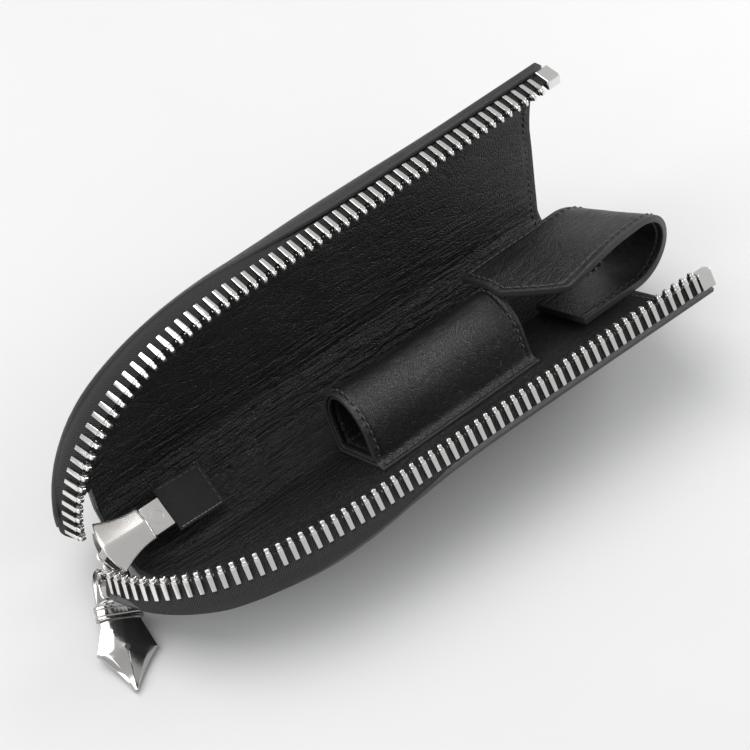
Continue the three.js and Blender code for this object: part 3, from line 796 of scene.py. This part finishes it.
def toothShape():
    # coordinates: along the chain, outwards, up
    spec = toothSpec
    w, t = spec["width"] / 2, spec["length"] / 2
    parts = []
    for side in (-1, 1):
        low = min(side * w, side * (w - spec["leg"]))
        top = (t, low + spec["leg"], spec["shoulder"] + 0.3)
        points, faces = beveledBox((-t, low, spec["legEnd"]), top, 0.17)
        # legs narrow towards their ends
        run = spec["shoulder"] - spec["legEnd"]
        share = np.clip((spec["shoulder"] - points[:, 2]) / run, 0, 1)
        points[:, 0] *= 1 - 0.14 * share
        points[:, 1] -= side * 0.18 * share
        parts.append((points, faces))
    parts.append(beveledBox((-t, -w, spec["shoulder"] - 0.25), (t, w, 0.05), 0.28))
    # the head is a rounded hook with a hollow on one side
    top = (t * 0.84, w * 0.80, spec["head"])
    points, faces = beveledBox((-t * 0.84, -w * 0.80, -0.35), top, 0.42, 3)
    high = points[:, 2] > 0.3
    points[high, 1] *= 0.86
    points[high, 0] += 0.05
    parts.append((points, faces))
    top = (t * 0.75, w * 0.5, spec["head"] + 0.12)
    parts.append(beveledBox((-t * 0.5, -w * 0.5, spec["head"] - 0.2), top, 0.15))
    return joined(parts)


def makeTeeth(half, body, share):
    shape, shapeFaces = toothShape()
    start = share * zipLine["pitch"]
    count = int((chainLength - 2.5 - start) / zipLine["pitch"]) + 1
    rng = random.Random(5 if half == "lower" else 8)
    points, faces = [], []
    for i in range(count):
        x, v, tx, tv, nx, nv = (float(q) for q in chainAt(start + i * zipLine["pitch"]))
        turn = rng.uniform(-0.03, 0.03)
        a = shape[:, 0] + turn * shape[:, 1]
        n = shape[:, 1] - turn * shape[:, 0] + tapeOut(x, np.minimum(shape[:, 2], 0), half)
        rise = shape[:, 2] + rng.uniform(-0.05, 0.05)
        p = np.stack([x + tx * a + nx * n, v + tv * a + nv * n, rise], 1)
        faces += [[k + i * len(shape) for k in f] for f in shapeFaces]
        points.append(p)
    row = [(np.concatenate(points), faces)]
    nodes = [half + "_zip_teeth"]
    metalPiece(half + "Teeth", row, "nickel", body, nodes, lambda p: place(p, half), 0.0, 40)


stop = {"from": 77.3, "length": 4.6, "width": 3.0, "top": -0.1, "bottom": -5.3}


def makeTopStop(half, body):
    reach = float(reachAt(stop["from"]))
    w = stop["width"] / 2
    top = (stop["from"] + stop["length"], reach + w, stop["top"])
    points, faces = beveledBox((stop["from"], reach - w, stop["bottom"]), top, 0.42, 3)
    # the block is pinched on its tape, so it waists below its rounded crown
    lowPart = points[:, 2] < -1.4
    points[lowPart, 1] = reach + (points[lowPart, 1] - reach) * 0.84
    points[:, 1] += tapeOut(stop["from"], points[:, 2], half)
    block = [(points, faces)]
    nodes = [half + "_top_stop"]
    metalPiece(half + "TopStop", block, "nickel", body, nodes, lambda p: place(p, half), 0.0, 40)


for half, share in (("lower", 0.0), ("upper", 0.5)):
    body = half + "_half"
    makeTape(half, body)
    makeTeeth(half, body, share)
    makeTopStop(half, body)
print("zip made")


def stitchRun(path, normals, pitch=2.3, length=1.8, radius=0.21, lift=0.10):
    # beads set end to end along a path in millimetres, each sunk at its ends
    path, normals = np.asarray(path, float), np.asarray(normals, float)
    distance = np.concatenate([[0], np.cumsum(np.linalg.norm(np.diff(path, axis=0), axis=1))])
    count = max(int(distance[-1] / pitch), 1)
    middle = (np.arange(count) + 0.5) * distance[-1] / count
    flank = [(0.25, -1.0), (0.85, -0.35), (1.0, 0.35), (0.85, -0.35), (0.25, -1.0)]
    profile = [(a, *wide) for a, wide in zip((-0.5, -0.36, 0, 0.36, 0.5), flank)]

    def at(values, where):
        return np.stack([np.interp(where, distance, values[:, k]) for k in range(3)], 1)

    tangent = at(path, middle + 0.4) - at(path, middle - 0.4)
    tangent /= np.linalg.norm(tangent, axis=1)[:, None]
    normal = at(normals, middle)
    normal -= (normal * tangent).sum(1)[:, None] * tangent
    normal /= np.linalg.norm(normal, axis=1)[:, None]
    side = np.cross(tangent, normal)
    points, faces, sides = [], [], 7
    for i in range(count):
        start = len(points)
        for along, thick, high in profile:
            core = at(path, middle[i : i + 1] + along * length)[0]
            core = core + normal[i] * (lift + high * radius)
            for k in range(sides):
                a = 2 * math.pi * k / sides
                spoke = math.cos(a) * side[i] + math.sin(a) * normal[i]
                points.append(core + radius * thick * spoke)
        faces += [[start + q for q in f] for f in tubeFaces(len(profile), sides)]
    return np.array(points), faces


def stitchPiece(name, runs, half, body, finish="thread"):
    points, faces = joined([stitchRun(*run) for run in runs])
    finishOff(newPiece(name, place(points, half), faces, finish), body, "tape")


def mouthStitches(half, body):
    # along the lining at the open end, from the rim down to the spine's edge
    x = shell["openEnd"] - 2.2
    spec = liningSpec
    line = halfSection(x, half, spec["inset"], spec["rim"] + 1.5, 90, spec["fromChain"])[0]
    slope = np.gradient(line, axis=0)
    slope /= np.linalg.norm(slope, axis=1)[:, None]
    inward = np.stack([slope[:, 1], -slope[:, 0]], 1)
    line = line + inward * (spec["thickness"] + 0.02)
    path = np.hstack([np.full((len(line), 1), x), line])
    normals = np.hstack([np.zeros((len(line), 1)), inward])
    stitchPiece(half + "MouthStitches", [(path[:-6], normals[:-6])], half, body)


for half in ("lower", "upper"):
    mouthStitches(half, half + "_half")


loop = {
    "start": -15.0,
    "end": 41.0,
    "near": 22.8,
    "far": 4.0,
    "base": -12.55,
    "crest": 8.6,
    "wall": 8.0,
    "flange": 2.8,
    "ply": 1.15,
    "inner": 0.7,
    "stitchInset": 1.9,
}


def loopSection(inset, flange, count):
    near, far = loop["near"] - inset, loop["far"] + inset
    base, spring, top = loop["base"] + inset, loop["base"] + loop["wall"], loop["crest"] - inset
    middle, half = (near + far) / 2, (near - far) / 2
    a = np.linspace(0, math.pi, 40)
    arch = [(middle + half * math.cos(t), spring + (top - spring) * math.sin(t) ** 0.92) for t in a]
    lead = [(near, base)]
    if flange:
        lead = [(near + loop["flange"], base + 0.75), (near + 1.0, base + 0.85)]
        lead.append((near + 0.15, base + 1.9))
    tail = [(far, base + 0.6), (far + 0.8, base), (near - 0.2, base)]
    line = resample(np.array(lead + arch + tail), 400)
    return resample(eased(np.repeat(line[:1], 7, 0), line, np.repeat(line[-1:], 7, 0)), count)


def loopShape(x, v, w):
    # the loop slumps a little towards its middle, and its leather undulates
    share = (x - loop["start"]) / (loop["end"] - loop["start"])
    high = np.clip((w - loop["base"]) / (loop["crest"] - loop["base"]), 0, 1)
    swell = noise.noise(Vector((x * 0.07, v * 0.12, w * 0.1)))
    swell += 0.5 * noise.noise(Vector((x * 0.2, v * 0.3, w * 0.3)))
    slump = 0.45 * high * math.sin(math.pi * share)
    return v + swell * 0.25 * high, w - slump + swell * 0.22 * high


def makeLoop(name, inset, thickness, flange, finish, slotName, node, ends=0.0):
    count, xs = 110, np.linspace(loop["start"] + ends, loop["end"] - ends, 58)
    section = loopSection(inset, flange, count)
    grid = np.array([[(x, *loopShape(x, v, w)) for v, w in section] for x in xs])
    obj = gridPiece(name, grid, "lower", finish, "edge")
    endGap = np.minimum(grid[..., 0] - xs[0], xs[-1] - grid[..., 0])
    setValues(obj, "seam", seamNear(endGap - loop["stitchInset"]))
    setValues(obj, "edge", np.exp(-endGap / 0.9))
    thicken(obj, thickness, inwardOffset(obj, 1))
    finishOff(obj, "lower_half", slotName, node)
    return section


loopLine = makeLoop("penLoop", 0.0, loop["ply"], True, "strap", "leather", "pen_loop_leather")
makeLoop("penLoopLining", 1.4, loop["inner"], False, "lining", "lining", "pen_loop_lining", 0.25)


def loopStitches():
    runs = []
    outward = np.gradient(loopLine, axis=0)
    outward /= np.linalg.norm(outward, axis=1)[:, None]
    outward = np.stack([outward[:, 1], -outward[:, 0]], 1)
    arch = slice(8, 78)
    for x in (loop["start"] + loop["stitchInset"], loop["end"] - loop["stitchInset"]):
        path = np.array([(x, *loopShape(x, v, w)) for v, w in loopLine[arch]])
        normals = np.hstack([np.zeros((len(path), 1)), outward[arch]])
        runs.append((path, normals))
    xs = np.linspace(loop["start"] + 1.6, loop["end"] - 1.6, 60)
    v = loop["near"] + loop["flange"] * 0.55
    w = loop["base"] + 0.86
    path = np.array([(x, *loopShape(x, v, w)) for x in xs])
    runs.append((path, np.tile((0.0, 0.0, 1.0), (len(xs), 1))))
    stitchPiece("loopStitches", runs, "lower", "lower_half")


loopStitches()


flap = {
    "rootX": 60.0,
    "curlX": 80.0,
    "tipX": 39.5,
    "far": 3.0,
    "near": 34.5,
    "rootNear": 24.0,
    "bottom": -12.5,
    "crest": 11.5,
    "tip": 10.9,
    "thickness": 2.0,
    "chamferX": 12.0,
    "chamfer": 15.0,
    "tilt": 0.25,
    "skew": 5.0,
    "stitchInset": 1.9,
}


def flapSpine():
    # (x, rise) of the strap's outer face, from its root round the curl to its tip
    middle = (flap["bottom"] + flap["crest"]) / 2
    radius = (flap["crest"] - flap["bottom"]) / 2
    a = np.linspace(-math.pi / 2, math.pi / 2, 60)
    curlX = flap["curlX"] + radius * 0.94 * np.cos(a) ** 0.9
    curl = np.stack([curlX, middle + radius * np.sin(a)], 1)
    t = np.linspace(0, 1, 40)[1:]
    run = flap["curlX"] - flap["tipX"]
    rise = flap["crest"] - (flap["crest"] - flap["tip"]) * t**1.6
    tongue = np.stack([flap["curlX"] - run * t, rise], 1)
    root = np.array([(flap["rootX"], flap["bottom"])])
    line = resample(np.concatenate([root, curl, tongue]), 300)
    line = eased(2 * line[:1] - line[6:0:-1], line, 2 * line[-1:] - line[-2:-8:-1])
    return resample(line, 130)


spineLine = flapSpine()
spineRun = np.concatenate([[0], np.cumsum(np.hypot(*np.diff(spineLine, axis=0).T))])


def alongStrap(s):
    return np.array([np.interp(s, spineRun, spineLine[:, k]) for k in (0, 1)])


def flapNear(s):
    # the strap's near edge, by distance along it
    x, w = alongStrap(s)
    past = s > spineRun[-1] / 2
    high = np.clip((w - flap["bottom"]) / (flap["crest"] - flap["bottom"]), 0, 1)
    widening = high if x > flap["curlX"] - 1 or not past else 1
    edge = flap["rootNear"] + (flap["near"] - flap["rootNear"]) * widening
    if past:
        corner = 1 - (x - flap["tipX"]) / flap["chamferX"]
        edge = min(edge, flap["near"] - flap["chamfer"] * corner)
    return edge


def flapPoint(s, u, lift=0.0):
    # u runs from the far edge to the near edge; lift is out of the strap's outer face
    x, w = alongStrap(s)
    dx, dw = alongStrap(s + 0.5) - alongStrap(s - 0.5)
    size = math.hypot(dx, dw)
    v = flap["far"] + u * (flapNear(s) - flap["far"])
    high = np.clip((w - flap["bottom"]) / (flap["crest"] - flap["bottom"]), 0, 1)
    # the tongue droops on its near side towards the tip, and its far side is pulled back
    share = float(smoothstep(s, spineRun[-1] * 0.62, spineRun[-1]))
    swell = noise.noise(Vector((s * 0.06, v * 0.08, 2.5))) * 0.3
    swell += noise.noise(Vector((s * 0.2, v * 0.2, 7))) * 0.1
    w2 = w - max(v - 14, 0) * flap["tilt"] * share + swell * high
    x2 = x - flap["skew"] * (1 - u) * high * (1 - share)
    return (x2 + lift * dw / size, v, w2 - lift * dx / size)


hinge = {"x": 91.475, "rise": (flap["bottom"] - 0.05 + 10.4) / 2 + 0.15, "span": 4.0}
flapStart = Vector(place((hinge["x"], 19, hinge["rise"] - hinge["span"]), "lower"))
flapEnd = Vector(place((hinge["x"], 19, hinge["rise"] + hinge["span"]), "lower"))
acrossCurl = ("lower_half", "flap", flapStart, flapEnd)


def makeFlap():
    rows = 150
    run = np.linspace(0, spineRun[-1], rows)
    us = np.linspace(0, 1, 44)
    grid = np.array([[flapPoint(s, u) for u in us] for s in run])
    obj = gridPiece("flap", grid, "lower", "strap", "lining", "edge")
    nearGap = np.array([[(1 - u) * (flapNear(s) - flap["far"]) for u in us] for s in run])
    farGap = np.array([[u * (flapNear(s) - flap["far"]) for u in us] for s in run])
    endGap = (spineRun[-1] - run)[:, None] + 0 * nearGap
    gap = np.minimum(np.minimum(nearGap, farGap), endGap)
    setValues(obj, "seam", seamNear(gap - flap["stitchInset"]))
    setValues(obj, "edge", np.exp(-gap / 0.9))
    crown = np.exp(-(((run - spineRun[-1] * 0.60) / 9) ** 2))[:, None] + 0 * nearGap
    setValues(obj, "fold", crown * 0.7)
    thicken(obj, flap["thickness"], inwardOffset(obj, 1), 0.5, 2, 1, 3)
    return finishOff(
        obj,
        acrossCurl,
        "leather",
        "flap_root_leather",
        "flap_root_lining",
        "flap_tongue_leather",
        "flap_tongue_lining",
    )


makeFlap()


def flapStitches():
    runs = []
    inset = flap["stitchInset"]
    start = spineRun[-1] * 0.06
    for side in (0, 1):
        for lift in (0.0, -flap["thickness"]):
            path, normals = [], []
            for s in np.linspace(start, spineRun[-1] - inset, 120):
                width = flapNear(s) - flap["far"]
                u = inset / width if side == 0 else 1 - inset * 1.15 / width
                p, q = flapPoint(s, u, lift), flapPoint(s, u, lift + (1 if lift == 0 else -1))
                path.append(p)
                normals.append(np.array(q) - np.array(p))
            runs.append((path, normals))
    path, normals = [], []
    s = spineRun[-1] - inset
    width = flapNear(s) - flap["far"]
    for u in np.linspace(inset / width, 1 - inset / width, 20):
        p, q = flapPoint(s, u), flapPoint(s, u, 1)
        path.append(p)
        normals.append(np.array(q) - np.array(p))
    runs.append((path, normals))
    stitchPiece("flapStitches", runs, "lower", acrossCurl)


flapStitches()
print("loop and flap made")


slider = {
    "from": -83.6,
    "to": -72.0,
    "noseHalf": 7.6,
    "tailHalf": 4.8,
    "bow": 1.7,
    "postX": -83.0,
    "shield": (2.4, 2.95, 1.15),
    "under": (-3.4, -2.6, 0.1),
}


def alongSlider(x):
    return (x - slider["from"]) / (slider["to"] - slider["from"])


def shieldHalf(x, share):
    nose, tail = slider["noseHalf"] * share, slider["tailHalf"] * share
    return tail + (nose - tail) * (1 - np.clip(alongSlider(x), 0, 1)) ** 2.1


def shieldPlate(share, low, high, ridge):
    # a plate with a blunt ridge down its middle, its nose bowed out
    xs, us = np.linspace(slider["from"], slider["to"], 16), np.linspace(-1, 1, 13)
    points, n, m = [], len(xs), len(us)
    for level in (0, 1):
        for x in xs:
            half = shieldHalf(x, share)
            for u in us:
                bow = -slider["bow"] * (1 - u * u) * max(1 - alongSlider(x) / 0.35, 0) ** 1.2
                top = high + ridge * (1 - abs(u))
                points.append((x + bow, low if level == 0 else top, u * half))
    top = [[i + n * m for i in f] for f in gridFaces(n, m)]
    bottom = [f[::-1] for f in gridFaces(n, m)]
    ring = rimOfGrid(n, m)
    sides = [(a, b, b + n * m, a + n * m) for a, b in zip(ring, ring[1:] + ring[:1])]
    return np.array(points), top + bottom + sides


def inMiddle(points):
    return place(points, "middle")


def turnedBar(profile, sides, x):
    points = lathe(profile, sides)
    points[:, 0] += x
    return points, tubeFaces(len(profile), sides)


def makeSlider():
    shield = [shieldPlate(1.0, *slider["shield"])]
    metalPiece("sliderShield", shield, "satin", "zip_end", ["slider_body"], inMiddle, 0.25)
    post = beveledBox((-84.6, -2.9, -1.25), (-81.4, 2.6, 1.25), 0.35, 3)
    parts = [shieldPlate(0.8, *slider["under"]), post]
    for side in (-1, 1):
        low, high = sorted((side * 3.04, side * 3.84))
        parts.append(beveledBox((-78, -2.7, low), (-72, -1.2, high), 0.25))
    metalPiece("sliderUnder", parts, "nickel", "zip_end", [], inMiddle)


rivet = [
    (0.05, -3.3),
    (1.1, -3.3),
    (1.1, -6.1),
    (2.05, -6.1),
    (2.15, -6.3),
    (2.0, -6.75),
    (1.4, -6.98),
    (0.05, -7.02),
]
bottomStop = {
    "low": (-71.4, -1.6, -4.2),
    "high": (-65.2, 1.6, 4.2),
    "bevel": 0.45,
    "middle": -68.2,
    "emboss": [(0.02, 1.5), (1.6, 1.55), (1.6, 1.78), (1.9, 1.75), (1.9, 1.55), (0.02, 1.5)],
}


def makeRivetAndStop():
    rivetPart = turnedBar(rivet, 36, slider["postX"])
    metalPiece("sliderRivet", [rivetPart], "nickel", "zip_end", ["slider_rivet"], inMiddle)
    box = beveledBox(bottomStop["low"], bottomStop["high"], bottomStop["bevel"], 3)
    parts = [box, turnedBar(bottomStop["emboss"], 28, bottomStop["middle"])]
    metalPiece("bottomStop", parts, "satin", "zip_end", ["bottom_stop"], inMiddle)


makeSlider()
makeRivetAndStop()

tail = {"from": -64.8, "length": 16.0, "half": 6.5, "slope": 15.0, "thickness": 0.8}


def tailPoint(a, w, lift=0.0):
    # distance from the stop, and rise across the case
    t = math.radians(tail["slope"]) * smoothstep(a, -2, 8)
    sag = 0.25 * noise.noise(Vector((a * 0.2, w * 0.2, 4.4)))
    return (tail["from"] + a * math.cos(t) + lift * math.sin(t), -a * math.sin(t) + sag + lift, w)


def makeTail():
    runs, ws = np.linspace(0, tail["length"], 24), np.linspace(-tail["half"], tail["half"], 20)
    grid = np.array([[tailPoint(a, w, 0.4) for w in ws] for a in runs])
    obj = gridPiece("zipTail", grid, "middle", "tape")
    setValues(obj, "along", np.repeat(runs, len(ws)))
    setValues(obj, "across", np.tile(ws, len(runs)))
    up = obj.data.polygons[0].normal.z > 0
    thicken(obj, tail["thickness"], -1.0 if up else 1.0, 0.15, 0)
    finishOff(obj, "zip_end", "tape", "zip_tail")
    black, pale = [], []
    inset = tail["half"] - 0.7
    end = tail["length"] - 1.0
    for w in (-inset, inset):
        path = [tailPoint(a, w, 0.42) for a in np.linspace(0.6, end, 30)]
        (pale if w < 0 else black).append((path, np.tile((0.0, 1.0, 0.0), (30, 1))))
    path = [tailPoint(end, w, 0.42) for w in np.linspace(-inset, inset, 20)]
    black.append((path, np.tile((0.0, 1.0, 0.0), (20, 1))))
    stitchPiece("tailStitches", black, "middle", "zip_end")
    pale = [(p, n, 1.3, 1.15, 0.10) for p, n in pale]
    stitchPiece("tailFold", pale, "middle", "zip_end", "paleThread")


makeTail()


# The pull is drawn along -X from its pivot.
pull = {
    "tongue": 5.0,
    "middle": -5.25,
    "turn": 64.2,
    "lean": 14.4,
    "headHalf": 4.9,
    "ovalX": -5.1,
    "ovalLength": 4.6,
    "ovalWidth": 2.4,
    "ovalRim": 0.5,
}


def turnAbout(axis, degrees):
    return Matrix.Rotation(math.radians(degrees), 3, axis)


def pullPlace(points, swing=True):
    # from the pull's own frame (x, -reach, rise) to the part's frame
    p = np.asarray(points, float)
    if swing:
        p = p @ np.array(turnAbout("Z", pull["lean"])).T
    p = p + np.array([-pull["tongue"] if swing else 0, -pull["middle"], 0])
    p = p @ np.array(turnAbout("Y", -pull["turn"])).T
    p = p + np.array([slider["postX"], 0, 0])
    return place(np.stack([p[:, 0], -p[:, 1], p[:, 2]], 1), "middle")


def nibHalf(x):
    # half width of the nib by distance along it
    d = -x
    if d < 22:
        return 5.3 + (7.8 - 5.3) * max(d - 14.4, 0) / 7.6
    t = (d - 22) / 11
    return (1 - t) ** 2 * 7.8 + 2 * t * (1 - t) * 3 + t * t * 0.35


def nibBody():
    xs = np.concatenate([np.linspace(-9.2, -22, 18), np.linspace(-22, -33, 20)[1:]])
    shares = [-1, -0.985, -0.74, -0.70, -0.4, -0.035, 0, 0.035, 0.4, 0.70, 0.74, 0.985, 1]
    points, m = [], len(shares)
    for x in xs:
        half = nibHalf(x)
        waist = 0.5 if x > -13.4 else 0.0
        thin = 1 - 0.35 * np.clip((-x - 22) / 11, 0, 1)
        for u in shares:
            high = 1.28 - 0.35 * abs(u) if abs(u) < 0.72 else 1.02 - (abs(u) - 0.72) * 2.9
            if abs(u) > 0.99:
                high = 0.05
            if abs(u) < 0.02 and x < -21.4:
                high -= 0.5
            points.append((x, -(max(high - waist, 0.02) * thin), u * half))
    for x in xs:
        half = nibHalf(x)
        waist = 0.5 if x > -13.4 else 0.0
        for u in shares:
            low = -1.1 + waist if abs(u) < 0.99 else -0.05
            points.append((x, -low * (1 - 0.25 * (x < -30)), u * half))
    n = len(xs)
    top, bottom = gridFaces(n, m), [[i + n * m for i in f][::-1] for f in gridFaces(n, m)]
    ring = rimOfGrid(n, m)
    sides = [(b, a, a + n * m, b + n * m) for a, b in zip(ring, ring[1:] + ring[:1])]
    return np.array(points), top + bottom + sides


def prism(outline, low, high):
    n = len(outline)
    points = [(x, low, z) for x, z in outline] + [(x, high, z) for x, z in outline]
    faces = [list(range(n))[::-1], [n + k for k in range(n)]]
    faces += [(k, (k + 1) % n, n + (k + 1) % n, n + k) for k in range(n)]
    return np.array(points, float), faces


def ovalOutline(x, w, length, width, steps=12):
    r, reach = width / 2, (length - width) / 2
    a = np.linspace(math.pi / 2, 3 * math.pi / 2, steps)
    left = [(x - reach + r * math.cos(t), w + r * math.sin(t)) for t in a]
    right = [(x + reach - r * math.cos(t), w - r * math.sin(t)) for t in a]
    return left + right


def ovalRim(x, w, length, width, level, radius=0.28):
    line = np.array(ovalOutline(x, w, length, width, 14))
    n, sides = len(line), 8
    tangent = np.roll(line, -1, 0) - np.roll(line, 1, 0)
    tangent /= np.linalg.norm(tangent, axis=1)[:, None]
    points = []
    for (px, pw), (tx, tw) in zip(line, tangent):
        for k in range(sides):
            a = 2 * math.pi * k / sides
            out = radius * math.cos(a)
            points.append((px - tw * out, level + radius * math.sin(a), pw + tx * out))
    return np.array(points), ringFaces(n, sides)


def solidObject(name, part, finish="polished"):
    obj = newPiece(name, pullPlace(part[0]), part[1], finish)
    return faceOutwards(obj, hair)


def makeNib():
    head = pull["headHalf"]
    x, length, width, rim = (pull[key] for key in ("ovalX", "ovalLength", "ovalWidth", "ovalRim"))
    a = np.linspace(0, math.pi / 2, 7)
    corner = [(-2 + 3.3 * math.sin(t), head - 2.3 * (1 - math.cos(t))) for t in a]
    outline = [(-9.3, -5.3), (-9.3, 5.3), *corner, *[(x, -w) for x, w in corner[::-1]]]
    blank = solidObject("head", prism(outline, -1.1, 1.1))
    holes = [(x, w, length, width) for w in (-2.1, 2.1)]
    cutters = [solidObject("oval", prism(ovalOutline(*hole), -3, 3)) for hole in holes]
    gap = [(-1.35, -1.95), (-1.35, 1.95), (9, 1.95), (9, -1.95)]
    cutters.append(solidObject("gap", prism(gap, -4, 4)))
    circle = [(1.3 * math.cos(t), 1.3 * math.sin(t)) for t in np.linspace(0, 2 * math.pi, 25)[:-1]]
    barrel, faces = prism(circle, -3.55, 3.55)
    cutters.append(solidObject("barrel", (barrel[:, [0, 2, 1]], faces)))
    cutBy(blank, *cutters)
    roundOff(blank, 0.28, 3, 40)
    settle(blank)
    smoothByAngle(blank, 38)
    finishOff(blank, "pull", "nickel", "pull_nib")
    blank.name = "pullHead"
    nib = solidObject("pullNib", nibBody())
    turns = np.linspace(0, 2 * math.pi, 25)[:-1]
    hole = [(-21.4 + 0.75 * math.cos(t), 0.75 * math.sin(t)) for t in turns]
    cutBy(nib, solidObject("breather", prism(hole, -3, 3)))
    smoothByAngle(nib, 14)
    finishOff(nib, "pull", "nickel")
    rims = [ovalRim(x, w, length + rim, width + rim, y) for w in (-2.1, 2.1) for y in (-1.1, 1.1)]
    metalPiece("pullRims", rims, "polished", "pull", [], pullPlace)


def makeCollar():
    xs = np.linspace(-9.3, -13.1, 61)
    points, m = [], 44
    for x in xs:
        d = (x + 13.1) / 3.8
        ridge = 0.20 * max(0, math.cos(2 * math.pi * (d * 4))) if d < 0.30 or d > 0.70 else -0.05
        grow = ridge - 0.25 * (abs(d - 0.5) > 0.49)
        for k in range(m):
            t = 2 * math.pi * k / m
            c, q = math.cos(t), math.sin(t)
            knurl = 0.03 * math.cos(18 * t) if 0.36 < d < 0.64 else 0
            thick = (1.38 + grow + knurl) * math.copysign(abs(c) ** 0.55, c)
            points.append((x, thick, (6.0 + grow) * math.copysign(abs(q) ** 0.42, q)))
    band = [(np.array(points), tubeFaces(len(xs), m))]
    metalPiece("pullCollar", band, "polished", "pull", ["pull_collar"], pullPlace)


makeNib()
makeCollar()


def makeSwivel():
    # drawn in the swivel's frame: a ring on the rivet, a tongue and a barrel
    profile = [(1.45, -0.35), (1.45, 0.35), (1.75, 0.55), (2.4, 0.55)]
    profile += [(2.7, 0.3), (2.7, -0.3), (2.4, -0.55), (1.75, -0.55)]
    sides = 40
    ring = (lathe(profile, sides), ringFaces(len(profile), sides))
    tongue = beveledBox((-5.0, -0.5, -1.55), (-2.3, 0.5, 1.55), 0.25)
    a = np.linspace(0, 2 * math.pi, 25)[:-1]
    bar, barFaces = prism([(-5 + 0.95 * math.cos(t), 0.95 * math.sin(t)) for t in a], -3.2, 3.2)
    parts = [ring, tongue, (bar[:, [0, 2, 1]], barFaces)]
    nodes = ["pull_swivel"]
    metalPiece("pullSwivel", parts, "nickel", "swivel", nodes, lambda p: pullPlace(p, False), 0.12)


makeSwivel()
print("closed end and pull made")


view = {"azimuth": -40.8, "elevation": 51.9, "lens": 93.03, "at": (-207.6, -247.5, 414.5)}


def makeCamera():
    data = bpy.data.cameras.new("camera")
    data.lens = view["lens"]
    data.sensor_width = 36
    obj = bpy.data.objects.new("camera", data)
    bpy.context.scene.collection.objects.link(obj)
    a, e = math.radians(view["azimuth"]), math.radians(view["elevation"])
    back = Vector((math.sin(a) * math.cos(e), -math.cos(a) * math.cos(e), math.sin(e)))
    right = (-back).cross(Vector((0, 0, 1))).normalized()
    up = right.cross(-back)
    at = Vector((np.array(view["at"]) + origin) * mm)
    rows = [[right[k], up[k], back[k], at[k]] for k in range(3)]
    obj.matrix_world = Matrix(rows + [[0, 0, 0, 1]])
    data.clip_start = 0.02
    bpy.context.scene.camera = obj


lamps = {
    "overhead": ((-0.22, 0.34, 0.95), (0.85, 0.85), 7.6, (1.0, 0.99, 0.98)),
    "left": ((-0.80, 0.10, 0.38), (0.45, 0.45), 2.4, (0.98, 0.99, 1.0)),
    "right": ((0.62, -0.10, 0.30), (0.45, 0.30), 2.4, (1.0, 1.0, 1.0)),
}


def makeLamps():
    for name, (at, size, power, colour) in lamps.items():
        data = bpy.data.lights.new(name, "AREA")
        data.shape = "RECTANGLE"
        data.size, data.size_y = size
        data.energy = power
        data.color = colour
        obj = bpy.data.objects.new(name, data)
        obj.location = at
        aim = Vector((0, 0, 0.02)) - obj.location
        obj.rotation_euler = aim.to_track_quat("-Z", "Y").to_euler()
        bpy.context.scene.collection.objects.link(obj)
    world = bpy.data.worlds.new("studio")
    bpy.context.scene.world = world
    world.use_nodes = True
    world.node_tree.nodes["Background"].inputs[0].default_value = (0.93, 0.94, 0.95, 1)
    world.node_tree.nodes["Background"].inputs[1].default_value = 0.62


def makeFloor():
    f = Finish("paleFloor")
    mottle = f.noise(f.place(), 0.02, 2.0)
    colour = f.mix(mottle, grey(0.63), grey(0.65))
    finishes["floor"] = f.surface(color=colour, roughness=0.7)
    size = 3.0
    count = 13
    line = np.linspace(-size, size, count)
    xs, ys = np.meshgrid(line, line, indexing="ij")
    points = np.stack([xs.ravel(), ys.ravel(), np.full(count * count, -0.00005)], 1)
    floor = newPiece("floor", points, [f[::-1] for f in gridFaces(count, count)], "floor")


makeCamera()
makeLamps()
makeFloor()
bpy.context.scene.view_settings.view_transform = "Standard"
